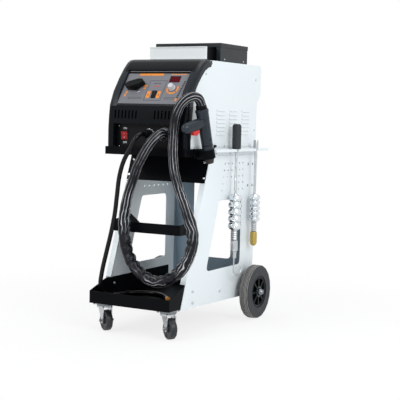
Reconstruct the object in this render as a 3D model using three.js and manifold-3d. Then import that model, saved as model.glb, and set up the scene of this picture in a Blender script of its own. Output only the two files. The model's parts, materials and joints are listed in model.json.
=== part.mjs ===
// Dent pulling spot welder for car bodies, on its wheeled tool trolley.
// Millimetres. +Z is up, the front faces -Y, and the wheels stand on z = 0.
import * as THREE from 'three';
import { mergeVertices } from 'three/addons/utils/BufferGeometryUtils.js';
import Module from 'manifold-3d';

// Overall sizes
const overallWidth = 400;
const overallDepth = 550;
const overallHeight = 850;

// The same sizes as they were when the places below were measured
const measuredWidth = 400;
const measuredDepth = 550;
const measuredLegs = 369.3;
const measuredCaseHeight = 276.9;
const measuredCordDrop = 424.5;

// Sheet metal and clearances shared by every piece
const sheet = 1.5;
const seat = 0.3;
const runningGap = 1;
const overrun = 5;
const wheelRoom = 63;
const flange = 18;
const sheetCorner = 3;

// Rear wheels
const wheelDiameter = 169;
const tyreWidth = 30;
const rimDiameter = 102;
const rimWidth = 26;
const rimRecessDiameter = 84;
const rimWebThickness = 5;
const hubDiameter = 30;
const hubLength = 28;
const spokeCount = 8;
const axleDiameter = 12;
const collarDiameter = 20;
const collarLength = 5;
const nutDiameter = 22;
const nutLength = 14.1;

// Front casters
const casterHeight = 83;
const casterWheelDiameter = 62;
const casterWheelWidth = 22;
const casterTrail = 14;
const casterInset = 28.5;
const casterSetback = 42;
const casterSwivelDegrees = -33;
const casterPlateLength = 62;
const casterPlateWidth = 50;
const casterPlateThickness = 2.5;
const casterHeadDiameter = 50;
const casterLegThickness = 2.5;
const casterPinDiameter = 6;

// Tray at the bottom
const trayAxleGap = 22.5;
const trayFrontLip = 34.7;
const traySideHeight = 61.7;
const traySlopeLength = 81;
const trayRearLip = 20;

// Side panels: depth places are measured from the front of the tray, rises from its sides
const panelFootFront = 62;
const panelFootRear = 506;
const panelTopFront = 217;
const panelTopRear = 530;
const panelFootFrontHeight = 80;
const panelFootRearHeight = 69;
const windowBottomFront = 205;
const windowTopFront = 278;
const windowRear = 423;
const windowBottomRise = 29;
const windowTopRise = 235;
const windowCorner = 14;
const perforationDiameter = 6;
const perforationRows = 5;
const perforationColumns = 6;
const perforationRowPitch = 20;
const perforationTopFront = 311.6;
const perforationTopPitch = 23.4;
const perforationBottomFront = 292.1;
const perforationBottomPitch = 27.5;
const perforationDrop = 25;
const largeHoleDiameter = 9;
const largeHoleFront = 465;
const largeHolePitch = 30;
const largeHoleDrop = 30;
const largeHoleRowPitch = 67;

// Sheets between the panels
const rearPlateAxleGap = 22.5;
const rearPlateBottom = 80;
const rearPlateFlange = 12;
const rearOpeningInset = 68;
const rearOpeningRise = 31;
const rearOpeningHeight = 264;
const deflectorDrop = 79;
const deflectorFlange = 15;
const shelfFront = 82;
const shelfDepth = 163;
const shelfRise = 144;
const shelfLip = 30;
const shelfRidgeSetback = 107;
const shelfRidgeHeight = 42;
const shelfEarHeight = 38;

// Platform under the welder
const platformFront = 72;
const platformDepth = 455;
const platformLip = 22.5;

// Welder case
const caseHeight = 276.9;
const caseInset = 4.5;
const bezelInset = 2.5;
const bezelFront = 77;
const bezelDepth = 148;
const bezelRound = 10;
const bezelWall = 3;
const coverWall = 1.5;
const coverRear = 547;
const coverFootRear = 522;
const coverTaperTop = 93;
const coverTaperBottom = 118;
const coverFootLift = 2;
const louvreLength = 51;
const louvreHeight = 3;
const louvreRise = 2.5;
const louvreWall = 0.8;
const louvreRows = 7;
const louvreColumns = 3;
const louvreRowPitch = 11.7;
const louvreColumnPitch = 81;
const louvreFront = 257.5;
const louvreTopDrop = 145;
const baseFold = 12;
const ventHeight = 24;
const ventWidth = 5.2;
const ventPitch = 11.9;
const ventCount = 7;
const ventBottom = 103;
const ventLeftCentre = -72;
const ventRightCentre = 63;

// Control panel, in its own sloping plane
const panelSetback = 42.5;
const panelCentreHeight = 194.7;
const panelLean = 34.9;
const controlInset = 28.5;
const controlHeight = 118;
const controlThickness = 3;
const recessDraft = 4;
const displayWidth = 31;
const displayHeight = 18.5;
const displayAcross = 60;
const displayUp = 28.8;
const selectorAcross = -61;
const selectorUp = 2;
const selectorLength = 58;
const selectorWidth = 20;
const selectorHeight = 20;
const selectorSkirt = 30;
const selectorTurn = 18;
const powerAcross = 62.6;
const powerUp = -4;
const powerKnobDiameter = 21;
const powerKnobHeight = 16;
const knobShaftDiameter = 6;
const knobSkirtHeight = 4;
const modeAcross = 8;
const modeUp = -26;
const modeWidth = 15;
const modeHeight = 24;
const rockerRise = 4;
const rockerDip = 3;

// Sockets and mains switch in the bay under the vents
const bayInset = 22.5;
const bayBottom = 15;
const bayHeight = 73;
const baySetback = 20;
const bayThickness = 4;
const bossLeft = -37;
const bossWidth = 142;
const bossHeight = 64;
const bossRise = 6;
const bossRound = 12;
const bossNotch = 14;
const socketHeight = 60;
const groundAcross = 7;
const gunAcross = 67;
const groundSocketDiameter = 34;
const gunSocketDiameter = 44;
const socketRise = 7;
const socketBore = 9;
const switchAcross = -85.5;
const switchHeight = 53.5;
const switchWidth = 21;
const switchTall = 23;

// Pieces inside the case
const transformerWidth = 120;
const transformerDepth = 100;
const transformerHeight = 110;
const transformerFront = 290;
const coilWidth = 84;
const coilDepth = 136;
const coilHeight = 56;
const boardInset = 16;
const boardHeight = 90;
const boardThickness = 1.6;
const boardGap = 12;
const standoffDiameter = 6;
const fanSize = 92;
const fanDepth = 25;
const fanWall = 4;
const fanHubDiameter = 34;
const fanShaft = 8;
const fanBladeCount = 7;
const fanBladeTwist = 32;
const fanCentreHeight = 176;
const fanGuardRings = 3;
const fanGuardWire = 3;
const inletDiameter = 26;
const inletBore = 9;
const inletLength = 26;
const inletAcross = -80;
const inletHeight = 40;

// Tool box on top and its drawer
const toolboxHeight = 56.7;
const toolboxInset = 18;
const toolboxFront = 307;
const toolboxDepth = 181;
const toolboxRim = 12;
const drawerInset = 17;
const drawerHeight = 37;
const drawerLift = 5.7;
const drawerLength = 174;
const drawerOut = 60;
const runnerWidth = 19;

// Tool rack on the right side and the two slide hammers in it
const rackWidth = 28.7;
const rackDrop = 8;
const rackFront = 199;
const rackLength = 348;
const rackRise = 19.7;
const rackSlotWidth = 9.6;
const hookHammerFront = 335;
const studHammerFront = 466;
const hammerReach = 24;
const rodDiameter = 8;
const gripDiameter = 27;
const gripLength = 75;
const hookWeightDiameter = 40;
const hookWeightLength = 105;
const hookWeightRise = 122;
const studWeightDiameter = 36;
const studWeightLength = 84;
const studWeightRise = 136;
const weightRings = 5;
const weightGroove = 5;
const threadDiameter = 16;
const hookThreadLength = 33;
const studThreadLength = 32;
const colletDiameter = 22;
const colletLength = 55;
const hookWireDiameter = 5;
const hookDrop = 94;
const hookReach = 52;
const hookSag = 14.5;
const hookTipRise = 8;
const nozzleDiameter = 22;
const nozzleLength = 44;
const stubLength = 26;
const screwDiameter = 6;
const screwReach = 5;

// Gun in its holder
const gunTopAcross = 164;
const gunSetback = 33;
const gunTopRise = 135.7;
const gunLean = 14.4;
const gunTurn = -15;
const gunLength = 158;
const gunTopDiameter = 37;
const gunNoseDiameter = 31;
const gunCollarLength = 10;
const gunNozzleLength = 29;
const gunNozzleTip = 21;
const gripBranchDrop = 38;
const gripBranchLength = 84;
const gripBranchThickness = 32;
const gripBranchWidth = 28;
const triggerLength = 26;
const triggerHeight = 13;
const triggerWidth = 12;
const triggerReach = 26;
const strapHeight = 26;
const strapThickness = 2.5;
const strapRise = 9.7;

// Cords: the routes run from the plug to the far end. Each point is given to the right of the
// middle, behind the bezel's front, and above the underside of the case
const groundCordDiameter = 13;
const gunCordDiameter = 28;
const groundPlugLength = 27.1;
const groundPlugDiameter = 26;
const gunPlugLength = 29.1;
const gunPlugDiameter = 38;
const lugLength = 62;
const lugWidth = 24;
const lugThickness = 4;
const lugSlot = 9;
const groundRoute = [
  [7, -21, 59.9], [7, -38, 59.9], [3, -56, 48.9], [-9, -62, 21.9], [-33, -60, -15.1],
  [-51, -55, -61.1], [-61, -51, -117.1], [-69, -49, -171.1], [-81, -48, -225.1],
  [-98, -48, -290.1], [-110, -49, -341.1], [-118, -45, -383.1], [-122, -24, -410.1],
  [-124, 8, -422.1], [-124, 48, -424.4], [-115, 83, -424.4], [-95, 108, -424.4],
  [-66, 123, -424.4], [-33, 128, -424.4], [-3, 115, -424.4], [20, 94, -424.4], [34, 80, -424.4],
];
const gunRoute = [
  [67, -23, 59.9], [67, -38, 59.9], [58, -55, 43.9], [33, -55, 9.9], [7, -47, -26.1],
  [-15, -39, -69.1], [-34, -33, -112.1], [-46, -30, -156.1], [-51, -27, -207.1],
  [-45, -27, -258.1], [-24, -27, -307.1], [12, -27, -343.1], [62, -27, -360.1],
  [110, -27, -346.1], [148, -27, -313.1], [171, -27, -270.1], [179, -27, -227.1],
  [171, -27, -188.1], [153, -27, -143.1], [129, -27, -87.1], [114, -27, -39.1], [108, -26, 14.9],
  [106, -22, 53.9], [108, -21, 85.9], [115, -22, 117.9], [126, -19, 143.9], [138, -9, 159.9],
  [151, 8, 167.9], [160, 21, 162.9], [163.1, 29.5, 147.9], [164, 32.9, 134.2],
];

// Counts that set how finely round pieces are divided
const fine = 20;
const medium = 12;
const coarse = 8;
const small = 6;
const gunCordSides = 8;
const groundCordSides = 6;
const groundCordSteps = 34;
const gunCordSteps = 36;

// Places worked out from the sizes above
const widthRatio = overallWidth / measuredWidth;
const depthRatio = overallDepth / measuredDepth;
const caseRatio = caseHeight / measuredCaseHeight;
const frontY = -overallDepth / 2;
const wheelRadius = wheelDiameter / 2;
const axleY = overallDepth / 2 - wheelRadius;
const axleZ = wheelRadius;
const bodyHalf = overallWidth / 2 - wheelRoom * widthRatio;
const wheelTrackGap = wheelRoom * widthRatio - hubLength - nutLength - seat * 3;
const innerHalf = bodyHalf - sheet;
const betweenHalf = innerHalf - seat;
const flangeEdge = bodyHalf - flange;
const trayZ = casterHeight + seat;
const trayTopZ = trayZ + traySideHeight;
const panelTopHeight = overallHeight - toolboxHeight - caseHeight - sheet - seat * 3;
const platformZ = panelTopHeight + seat;
const legRatio = (platformZ - trayTopZ) / measuredLegs;
const rackTopHeight = platformZ + rackRise;
const caseZ = platformZ + sheet + seat;
const caseTopZ = caseZ + caseHeight;
const caseHalf = bodyHalf - caseInset;
const bezelHalf = bodyHalf - bezelInset;
const bezelFrontY = frontY + bezelFront * depthRatio;
const controlWidth = 2 * (bezelHalf - controlInset);
const bayWidth = 2 * (bezelHalf - bayInset);
const displayX = displayAcross * widthRatio;
const selectorX = selectorAcross * widthRatio;
const powerX = powerAcross * widthRatio;
const modeX = modeAcross * widthRatio;
const switchX = switchAcross * widthRatio;
const groundX = groundAcross * widthRatio;
const gunX = gunAcross * widthRatio;
const inletX = inletAcross * widthRatio;
const gunTopHeight = platformZ + gunTopRise;
const strapCentreHeight = platformZ + strapRise;
const hookWeightBottom = wheelDiameter + hookWeightRise * legRatio;
const studWeightBottom = wheelDiameter + studWeightRise * legRatio;
const toolboxZ = caseTopZ + seat;
const weld = 1e-4;

function fromFront(distance) {
  return frontY + distance * depthRatio;
}

// A point of a cord's route. What hangs below the case stretches with the trolley's legs
const cordRestZ = trayZ + sheet + seat + groundCordDiameter / 2;
const cordDropRatio = (caseZ - cordRestZ) / measuredCordDrop;

function routePoint([across, back, rise]) {
  const z = caseZ + (rise < 0 ? rise * cordDropRatio : rise);
  return [across * widthRatio, bezelFrontY + back, z];
}
const groundLine = groundRoute.map(routePoint);
const gunLine = gunRoute.map(routePoint);

const group = new THREE.Group();
const wasm = await Module();
wasm.setup();

// Materials
function paint(color, roughness, metalness) {
  return new THREE.MeshStandardMaterial({ color, roughness, metalness });
}
const whitePaint = paint(0xe8ecee, 0.45, 0.1);
const blackPaint = paint(0x141517, 0.5, 0.2);
const slatePaint = paint(0x3a4047, 0.55, 0.2);
const greyPaint = paint(0xc9cdd0, 0.45, 0.2);
const slatePlastic = paint(0x23282e, 0.5, 0);
const blackPlastic = paint(0x121315, 0.5, 0);
const panelPrint = paint(0x8d8b95, 0.5, 0);
const redPlastic = paint(0xd8322e, 0.4, 0);
const redWindow = paint(0x5c0710, 0.15, 0);
const whitePlastic = paint(0xd9dadc, 0.4, 0);
const rubber = paint(0x1b1c1e, 0.85, 0);
const casterRubber = paint(0x2b2c2f, 0.6, 0);
const sleeve = paint(0x17181b, 0.8, 0);
const zinc = paint(0xb4b8bc, 0.35, 1);
const chrome = paint(0xd4d7da, 0.18, 1);
const brass = paint(0xb58a3c, 0.3, 1);
const copper = paint(0xb06a45, 0.4, 1);
const coreSteel = paint(0x55585c, 0.5, 0.9);
const boardGreen = paint(0x1f5a36, 0.5, 0);

// Solids: joins and cuts between closed meshes
function signedVolume(positions, triangles) {
  const [a, b, c] = [new THREE.Vector3(), new THREE.Vector3(), new THREE.Vector3()];
  let sum = 0;
  for (let i = 0; i < triangles.length; i += 3) {
    a.fromArray(positions, triangles[i] * 3);
    b.fromArray(positions, triangles[i + 1] * 3);
    c.fromArray(positions, triangles[i + 2] * 3);
    sum += a.dot(b.cross(c));
  }
  return sum;
}

function solid(piece) {
  if (!piece.isBufferGeometry) return piece;
  const bare = piece.clone();
  bare.deleteAttribute('normal');
  bare.deleteAttribute('uv');
  const merged = mergeVertices(bare, weld);
  const positions = new Float32Array(merged.attributes.position.array);
  const triangles = [];
  const index = merged.index.array;
  for (let i = 0; i < index.length; i += 3) {
    const [a, b, c] = [index[i], index[i + 1], index[i + 2]];
    if (a !== b && b !== c && c !== a) triangles.push(a, b, c);
  }
  if (signedVolume(positions, triangles) < 0) triangles.reverse();
  const triVerts = new Uint32Array(triangles);
  return new wasm.Manifold(new wasm.Mesh({ numProp: 3, vertProperties: positions, triVerts }));
}

function join(...pieces) {
  return pieces.map(solid).reduce((sum, piece) => sum.add(piece));
}

function cut(body, ...tools) {
  return tools.map(solid).reduce((rest, tool) => rest.subtract(tool), solid(body));
}

function common(first, second) {
  return solid(first).intersect(solid(second));
}

function geometryOf(piece) {
  const mesh = solid(piece).getMesh();
  const geometry = new THREE.BufferGeometry();
  geometry.setAttribute('position', new THREE.BufferAttribute(mesh.vertProperties, 3));
  geometry.setIndex(new THREE.BufferAttribute(mesh.triVerts, 1));
  return geometry;
}

function mirrored(piece) {
  return solid(geometryOf(piece).scale(-1, 1, 1));
}

function moved(piece, x, y, z) {
  return geometryOf(piece).translate(x, y, z);
}

function placed(piece, matrix) {
  return geometryOf(piece).applyMatrix4(matrix);
}

function add(name, piece, material) {
  const geometry = geometryOf(piece);
  geometry.computeVertexNormals();
  const node = new THREE.Mesh(geometry, material);
  node.name = name;
  group.add(node);
}

// Shapes: boxes, prisms along each axis, turned pieces and folded strips
const alongX = new THREE.Matrix4().makeBasis(
  new THREE.Vector3(0, 1, 0), new THREE.Vector3(0, 0, 1), new THREE.Vector3(1, 0, 0));
const alongY = new THREE.Matrix4().makeBasis(
  new THREE.Vector3(1, 0, 0), new THREE.Vector3(0, 0, 1), new THREE.Vector3(0, -1, 0));

function box(x0, x1, y0, y1, z0, z1) {
  const geometry = new THREE.BoxGeometry(x1 - x0, y1 - y0, z1 - z0);
  return geometry.translate((x0 + x1) / 2, (y0 + y1) / 2, (z0 + z1) / 2);
}

function extruded(points, depth) {
  const shape = new THREE.Shape(points.map(([a, b]) => new THREE.Vector2(a, b)));
  return new THREE.ExtrudeGeometry(shape, { depth, bevelEnabled: false });
}

function prismX(points, x0, x1) {
  return extruded(points, x1 - x0).applyMatrix4(alongX).translate(x0, 0, 0);
}

function prismY(points, y0, y1) {
  return extruded(points, y1 - y0).applyMatrix4(alongY).translate(0, y1, 0);
}

function prismZ(points, z0, z1) {
  return extruded(points, z1 - z0).translate(0, 0, z0);
}

// A profile of [radius, height] points turned about the Z axis
function turned(profile, segments) {
  const points = profile.map(([radius, height]) => new THREE.Vector2(radius, height));
  return new THREE.LatheGeometry(points, segments).rotateX(Math.PI / 2);
}

function rodZ(radius, z0, z1, segments) {
  return turned([[0, z0], [radius, z0], [radius, z1], [0, z1]], segments);
}

function rodX(radius, x0, x1, y, z, segments) {
  return rodZ(radius, x0, x1, segments).applyMatrix4(alongX).translate(0, y, z);
}

function rodY(radius, y0, y1, x, z, segments) {
  return rodZ(radius, -y1, -y0, segments).applyMatrix4(alongY).translate(x, 0, z);
}

function rectangle(a0, a1, b0, b1) {
  return [[a0, b0], [a1, b0], [a1, b1], [a0, b1]];
}

// Rounds each corner of an outline, or only those in the list
function filleted(points, radius, only, steps = 3) {
  const result = [];
  points.forEach((point, i) => {
    if (only && !only.includes(i)) {
      result.push(point);
      return;
    }
    const corner = new THREE.Vector2(...point);
    const back = new THREE.Vector2(...points.at(i - 1)).sub(corner);
    const ahead = new THREE.Vector2(...points[(i + 1) % points.length]).sub(corner);
    const half = Math.acos(back.dot(ahead) / back.length() / ahead.length()) / 2;
    const reach = Math.min(radius / Math.tan(half), back.length() / 2, ahead.length() / 2);
    const start = corner.clone().addScaledVector(back.normalize(), reach);
    const end = corner.clone().addScaledVector(ahead.normalize(), reach);
    const arc = new THREE.QuadraticBezierCurve(start, corner, end);
    arc.getPoints(steps).forEach((p) => result.push(p.toArray()));
  });
  return result;
}

// The same line moved sideways, to its left where the distance is positive
function offsetLine(points, distance) {
  return points.map((point, i) => {
    const here = new THREE.Vector2(...point);
    const before = i > 0 && here.clone().sub(new THREE.Vector2(...points[i - 1])).normalize();
    const after = i < points.length - 1
      && new THREE.Vector2(...points[i + 1]).sub(here).normalize();
    const one = before || after;
    const two = after || before;
    const normal = new THREE.Vector2(-one.y, one.x);
    const mitre = new THREE.Vector2(-two.y, two.x).add(normal);
    return here.addScaledVector(mitre, distance / mitre.dot(normal)).toArray();
  });
}

function strip(points, thickness) {
  return [...points, ...offsetLine(points, thickness).reverse()];
}

function degrees(angle) {
  return THREE.MathUtils.degToRad(angle);
}

// A round tube along a smooth line through the points
function tube(points, radius, sides, steps) {
  const path = new THREE.CatmullRomCurve3(points.map((p) => new THREE.Vector3(...p)));
  const section = new THREE.Shape();
  for (let i = 0; i < sides; i += 1) {
    const angle = 2 * Math.PI * i / sides;
    const corner = [radius * Math.cos(angle), radius * Math.sin(angle)];
    if (i === 0) section.moveTo(...corner);
    else section.lineTo(...corner);
  }
  return new THREE.ExtrudeGeometry(section, { steps, extrudePath: path, bevelEnabled: false });
}

// Trolley sheet metal
const frontSlope = (fromFront(panelTopFront) - fromFront(panelFootFront))
  / (panelTopHeight - panelFootFrontHeight);

function panelFrontY(z) {
  return fromFront(panelFootFront) + (z - panelFootFrontHeight) * frontSlope;
}

function baseTray() {
  const rearY = axleY - trayAxleGap;
  const side = [
    [frontY, trayZ], [rearY, trayZ], [rearY, trayTopZ],
    [frontY + traySlopeLength, trayTopZ], [frontY, trayZ + trayFrontLip],
  ];
  const plan = filleted(rectangle(-betweenHalf, betweenHalf, frontY, rearY), sheetCorner);
  const inner = betweenHalf - sheet;
  const hollow = filleted(
    rectangle(-inner, inner, frontY + sheet, rearY - sheet), sheetCorner - sheet);
  return cut(
    common(prismX(side, -betweenHalf, betweenHalf), prismZ(plan, trayZ, trayTopZ)),
    prismZ(hollow, trayZ + sheet, trayTopZ + overrun),
    box(-inner, inner, rearY - overrun, rearY + overrun, trayZ + trayRearLip, trayTopZ + overrun));
}

function perforations() {
  const holes = [];
  const reach = [innerHalf - overrun, bodyHalf + overrun];
  for (let row = 0; row < perforationRows; row += 1) {
    const share = row / (perforationRows - 1);
    const front = THREE.MathUtils.lerp(perforationTopFront, perforationBottomFront, share);
    const pitch = THREE.MathUtils.lerp(perforationTopPitch, perforationBottomPitch, share);
    const z = panelTopHeight - (perforationDrop + row * perforationRowPitch) * legRatio;
    for (let column = 0; column < perforationColumns; column += 1) {
      const y = fromFront(front + column * pitch);
      holes.push(rodX(perforationDiameter / 2, ...reach, y, z, small));
    }
  }
  for (let row = 0; row < 2; row += 1) {
    for (let column = 0; column < 2; column += 1) {
      const y = fromFront(largeHoleFront + column * largeHolePitch);
      const z = panelTopHeight - (largeHoleDrop + row * largeHoleRowPitch) * legRatio;
      holes.push(rodX(largeHoleDiameter / 2, ...reach, y, z, small));
    }
  }
  return holes;
}

function sidePanel() {
  const footFront = [fromFront(panelFootFront), panelFootFrontHeight];
  const footRear = [fromFront(panelFootRear), panelFootRearHeight];
  const topRear = [fromFront(panelTopRear), panelTopHeight];
  const topFront = [fromFront(panelTopFront), panelTopHeight];
  const below = panelFootRearHeight - overrun;
  const windowBottom = trayTopZ + windowBottomRise * legRatio;
  const windowTop = trayTopZ + windowTopRise * legRatio;
  const inside = offsetLine([footRear, topRear, topFront, footFront], sheet);
  const opening = [
    ...inside, [panelFrontY(below) + sheet, below], [inside[0][0], below],
  ];
  const window = filleted([
    [fromFront(windowBottomFront), windowBottom], [fromFront(windowRear), windowBottom],
    [fromFront(windowRear), windowTop], [fromFront(windowTopFront), windowTop],
  ], windowCorner);
  return cut(
    prismX([footFront, footRear, topRear, topFront], flangeEdge, bodyHalf),
    prismX(opening, flangeEdge - overrun, innerHalf),
    box(flangeEdge - overrun, innerHalf, frontY, fromFront(panelTopFront), 0, trayTopZ + overrun),
    prismX(window, innerHalf - overrun, bodyHalf + overrun),
    rodX(axleDiameter / 2 + seat, innerHalf - overrun, bodyHalf + overrun, axleY, axleZ, medium),
    ...perforations());
}

function rearPlate() {
  const y = axleY + rearPlateAxleGap;
  const top = panelTopHeight - sheet - seat;
  const half = bodyHalf - rearOpeningInset;
  const openingBottom = trayTopZ + rearOpeningRise * legRatio;
  const openingTop = openingBottom + rearOpeningHeight * legRatio;
  const opening = filleted(
    rectangle(-half, half, openingBottom, openingTop), windowCorner);
  const inner = betweenHalf - sheet;
  return cut(
    box(-betweenHalf, betweenHalf, y - rearPlateFlange, y + sheet, rearPlateBottom, top),
    box(-inner, inner, y - rearPlateFlange - overrun, y, rearPlateBottom - overrun, top + overrun),
    prismY(opening, y - overrun, y + sheet + overrun));
}

function frontDeflector() {
  const bottom = panelTopHeight - deflectorDrop * legRatio;
  const edge = [
    [panelFrontY(bottom), bottom], [panelFrontY(platformZ), platformZ],
    [panelFrontY(platformZ) - deflectorFlange, platformZ],
  ];
  return solid(prismX(strip(offsetLine(edge, seat), sheet), -betweenHalf, betweenHalf));
}

const shelfZ = trayTopZ + shelfRise * legRatio;

function midShelf() {
  const half = flangeEdge - runningGap;
  const y = fromFront(shelfFront);
  const top = shelfZ + shelfLip;
  const rear = fromFront(shelfFront + shelfDepth);
  const cheek = [
    [y, shelfZ], [rear, shelfZ], [rear - sheet * 4, shelfZ + sheet * 7],
    [fromFront(shelfFront + shelfRidgeSetback), shelfZ + shelfRidgeHeight], [y, top],
  ];
  const earEdge = [
    [panelFrontY(shelfZ + sheet), shelfZ + sheet],
    [panelFrontY(shelfZ + shelfEarHeight), shelfZ + shelfEarHeight],
  ];
  const ear = prismX(strip(offsetLine(earEdge, -sheet - seat), -sheet), half - sheet, betweenHalf);
  const rightEnd = join(prismX(cheek, half - sheet, half), ear);
  return join(
    box(-half, half, y, rear, shelfZ, shelfZ + sheet),
    box(-half, half, y, y + sheet, shelfZ, top),
    rightEnd,
    mirrored(rightEnd));
}

function platformShelf() {
  const y = fromFront(platformFront);
  const rear = fromFront(platformFront + platformDepth);
  const outer = rectangle(-bodyHalf, bodyHalf, y, rear);
  const inner = rectangle(-innerHalf, innerHalf, y + sheet, rear - sheet);
  return cut(
    prismZ(filleted(outer, sheetCorner), platformZ, platformZ + platformLip),
    prismZ(filleted(inner, sheetCorner - sheet), platformZ + sheet, platformZ + platformLip + overrun));
}

const hammerX = bodyHalf + hammerReach;
const hookY = fromFront(hookHammerFront);
const studY = fromFront(studHammerFront);

function toolRack() {
  const x0 = bodyHalf + seat;
  const x1 = x0 + rackWidth;
  const bottom = rackTopHeight - rackDrop;
  const y = fromFront(rackFront);
  const rear = fromFront(rackFront + rackLength);
  const channel = [[x0, bottom], [x0, rackTopHeight], [x1, rackTopHeight], [x1, bottom]];
  const half = rackSlotWidth / 2;
  const slots = [hookY, studY].flatMap((slotY) => [
    box(hammerX, x1 + overrun, slotY - half, slotY + half, bottom - overrun, rackTopHeight + overrun),
    rodZ(half, bottom - overrun, rackTopHeight + overrun, medium).translate(hammerX, slotY, 0),
  ]);
  return cut(prismY(strip(channel, -sheet), y, rear), ...slots);
}

// Rear wheels
const hubOuter = overallWidth / 2 - nutLength;
const wheelMiddle = hubOuter - hubLength / 2;

function rearAxle() {
  const inner = [innerHalf - seat - collarLength, innerHalf - seat];
  const outer = [bodyHalf + seat, bodyHalf + seat + wheelTrackGap];
  const end = overallWidth / 2 - collarLength;
  const half = [
    [0, 0], [axleDiameter / 2, 0],
    [axleDiameter / 2, inner[0]], [collarDiameter / 2, inner[0]],
    [collarDiameter / 2, inner[1]], [axleDiameter / 2, inner[1]],
    [axleDiameter / 2, outer[0]], [collarDiameter / 2, outer[0]],
    [collarDiameter / 2, outer[1]], [axleDiameter / 2, outer[1]],
    [axleDiameter / 2, end], [0, end],
  ];
  const right = turned(half, coarse).applyMatrix4(alongX);
  return moved(join(right, mirrored(right)), 0, axleY, axleZ);
}

function wheelRim() {
  const rim = rimDiameter / 2;
  const recess = rimRecessDiameter / 2;
  const hub = hubDiameter / 2;
  const bore = axleDiameter / 2 + seat;
  const web = rimWebThickness / 2;
  const half = rimWidth / 2;
  const profile = [
    [bore, -hubLength / 2], [hub, -hubLength / 2], [hub, -web], [recess, -web],
    [rim - rimWebThickness, -half], [rim, -half], [rim, half], [rim - rimWebThickness, half],
    [recess, web], [hub, web], [hub, hubLength / 2], [bore, hubLength / 2],
    [bore, -hubLength / 2],
  ];
  const spokeLength = recess - hub;
  const middle = (recess + hub) / 2;
  const spokes = [];
  for (let i = 0; i < spokeCount; i += 1) {
    const spoke = box(
      middle - spokeLength / 2 - web, middle + spokeLength / 2 + web, -web, web, -half, half);
    spokes.push(spoke.rotateZ(2 * Math.PI * i / spokeCount));
  }
  return join(turned(profile, fine), ...spokes);
}

const treadShares = [
  [0.92, -0.5], [0.98, -0.45], [1, -0.25], [0.975, -0.2], [1, -0.15], [1, 0.15], [0.975, 0.2],
  [1, 0.25], [0.98, 0.45], [0.92, 0.5],
];
const sidewallShares = [[0.76, 0.47]];

function tyre() {
  const inner = rimDiameter / 2 + seat;
  const sidewall = sidewallShares.map(([r, w]) => [r * wheelRadius, w * tyreWidth]);
  const profile = [
    [inner, -tyreWidth / 2],
    ...sidewall.map(([r, w]) => [r, -w]).reverse(),
    ...treadShares.map(([r, w]) => [r * wheelRadius, w * tyreWidth]),
    ...sidewall,
    [inner, tyreWidth / 2],
    [inner, -tyreWidth / 2],
  ];
  return turned(profile, fine);
}

function axleNut() {
  const start = hubOuter + seat;
  const end = overallWidth / 2;
  const radius = nutDiameter / 2;
  const bore = axleDiameter / 2 + seat;
  const depth = overallWidth / 2 - collarLength + seat;
  const rise = end - start;
  return turned([
    [bore, start], [radius, start], [radius, start + rise / 3], [radius - sheet, start + rise * 0.6],
    [radius * 0.55, end - sheet / 2], [0, end], [0, depth], [bore, depth], [bore, start],
  ], medium);
}

// Front casters, drawn round their swivel line with the wheel trailing along +X
const casterPlateBottom = casterHeight - casterPlateThickness;

function casterPlate() {
  const half = [casterPlateWidth / 2, casterPlateLength / 2];
  const plan = filleted(rectangle(-half[0], half[0], -half[1], half[1]), sheetCorner * 2);
  const race = casterHeadDiameter / 2;
  const bottom = casterPlateBottom - casterPlateThickness * 3;
  return join(
    prismZ(plan, casterPlateBottom, casterHeight),
    turned([
      [0, bottom], [race - sheet, bottom], [race, bottom + sheet], [race, casterPlateBottom],
      [race - sheet, casterPlateBottom + sheet], [0, casterPlateBottom + sheet],
    ], medium));
}

const casterCrownTop = casterPlateBottom - casterPlateThickness * 3 - seat;

function casterFork() {
  const axle = casterWheelDiameter / 2;
  const crown = casterHeadDiameter / 2 - sheet;
  const crownBottom = casterCrownTop - casterLegThickness * 2;
  const inner = casterWheelWidth / 2 + runningGap;
  const outer = inner + casterLegThickness;
  const boss = casterPinDiameter * 1.4;
  const leg = filleted([
    [-crown * 0.6, crownBottom], [casterTrail - boss, axle + boss / 2],
    [casterTrail - boss / 2, axle - boss], [casterTrail + boss / 2, axle - boss],
    [casterTrail + boss, axle], [crown, crownBottom], [crown * 0.9, casterCrownTop],
    [-crown * 0.6, casterCrownTop],
  ], casterLegThickness, null, 2);
  const pin = casterPinDiameter / 2;
  const head = casterPinDiameter * 0.8;
  const rivet = turned([
    [0, -outer - casterLegThickness], [head * 0.7, -outer - casterLegThickness * 0.8],
    [head, -outer], [pin, -outer], [pin, outer], [head, outer],
    [head * 0.7, outer + casterLegThickness * 0.8], [0, outer + casterLegThickness],
  ], coarse).applyMatrix4(alongY).translate(casterTrail, 0, axle);
  return join(
    rodZ(crown, crownBottom, casterCrownTop, medium),
    prismY(leg, inner, outer),
    prismY(leg, -outer, -inner),
    rivet);
}

function casterWheel() {
  const radius = casterWheelDiameter / 2;
  const half = casterWheelWidth / 2;
  const bore = casterPinDiameter / 2 + seat;
  const hub = radius * 0.35;
  const face = half * 0.7;
  return turned([
    [bore, -half], [hub, -half], [hub, -face], [radius * 0.72, -face], [radius * 0.78, -half * 0.9],
    [radius * 0.95, -half * 0.8], [radius, -half * 0.4], [radius, half * 0.4],
    [radius * 0.95, half * 0.8], [radius * 0.78, half * 0.9], [radius * 0.72, face], [hub, face],
    [hub, half], [bore, half], [bore, -half],
  ], medium).applyMatrix4(alongY).translate(casterTrail, 0, radius);
}

function casterPlace(side, swivel) {
  return new THREE.Matrix4()
    .makeRotationZ(degrees(swivel))
    .setPosition(side * (bodyHalf - casterInset), frontY + casterSetback, 0);
}

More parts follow.
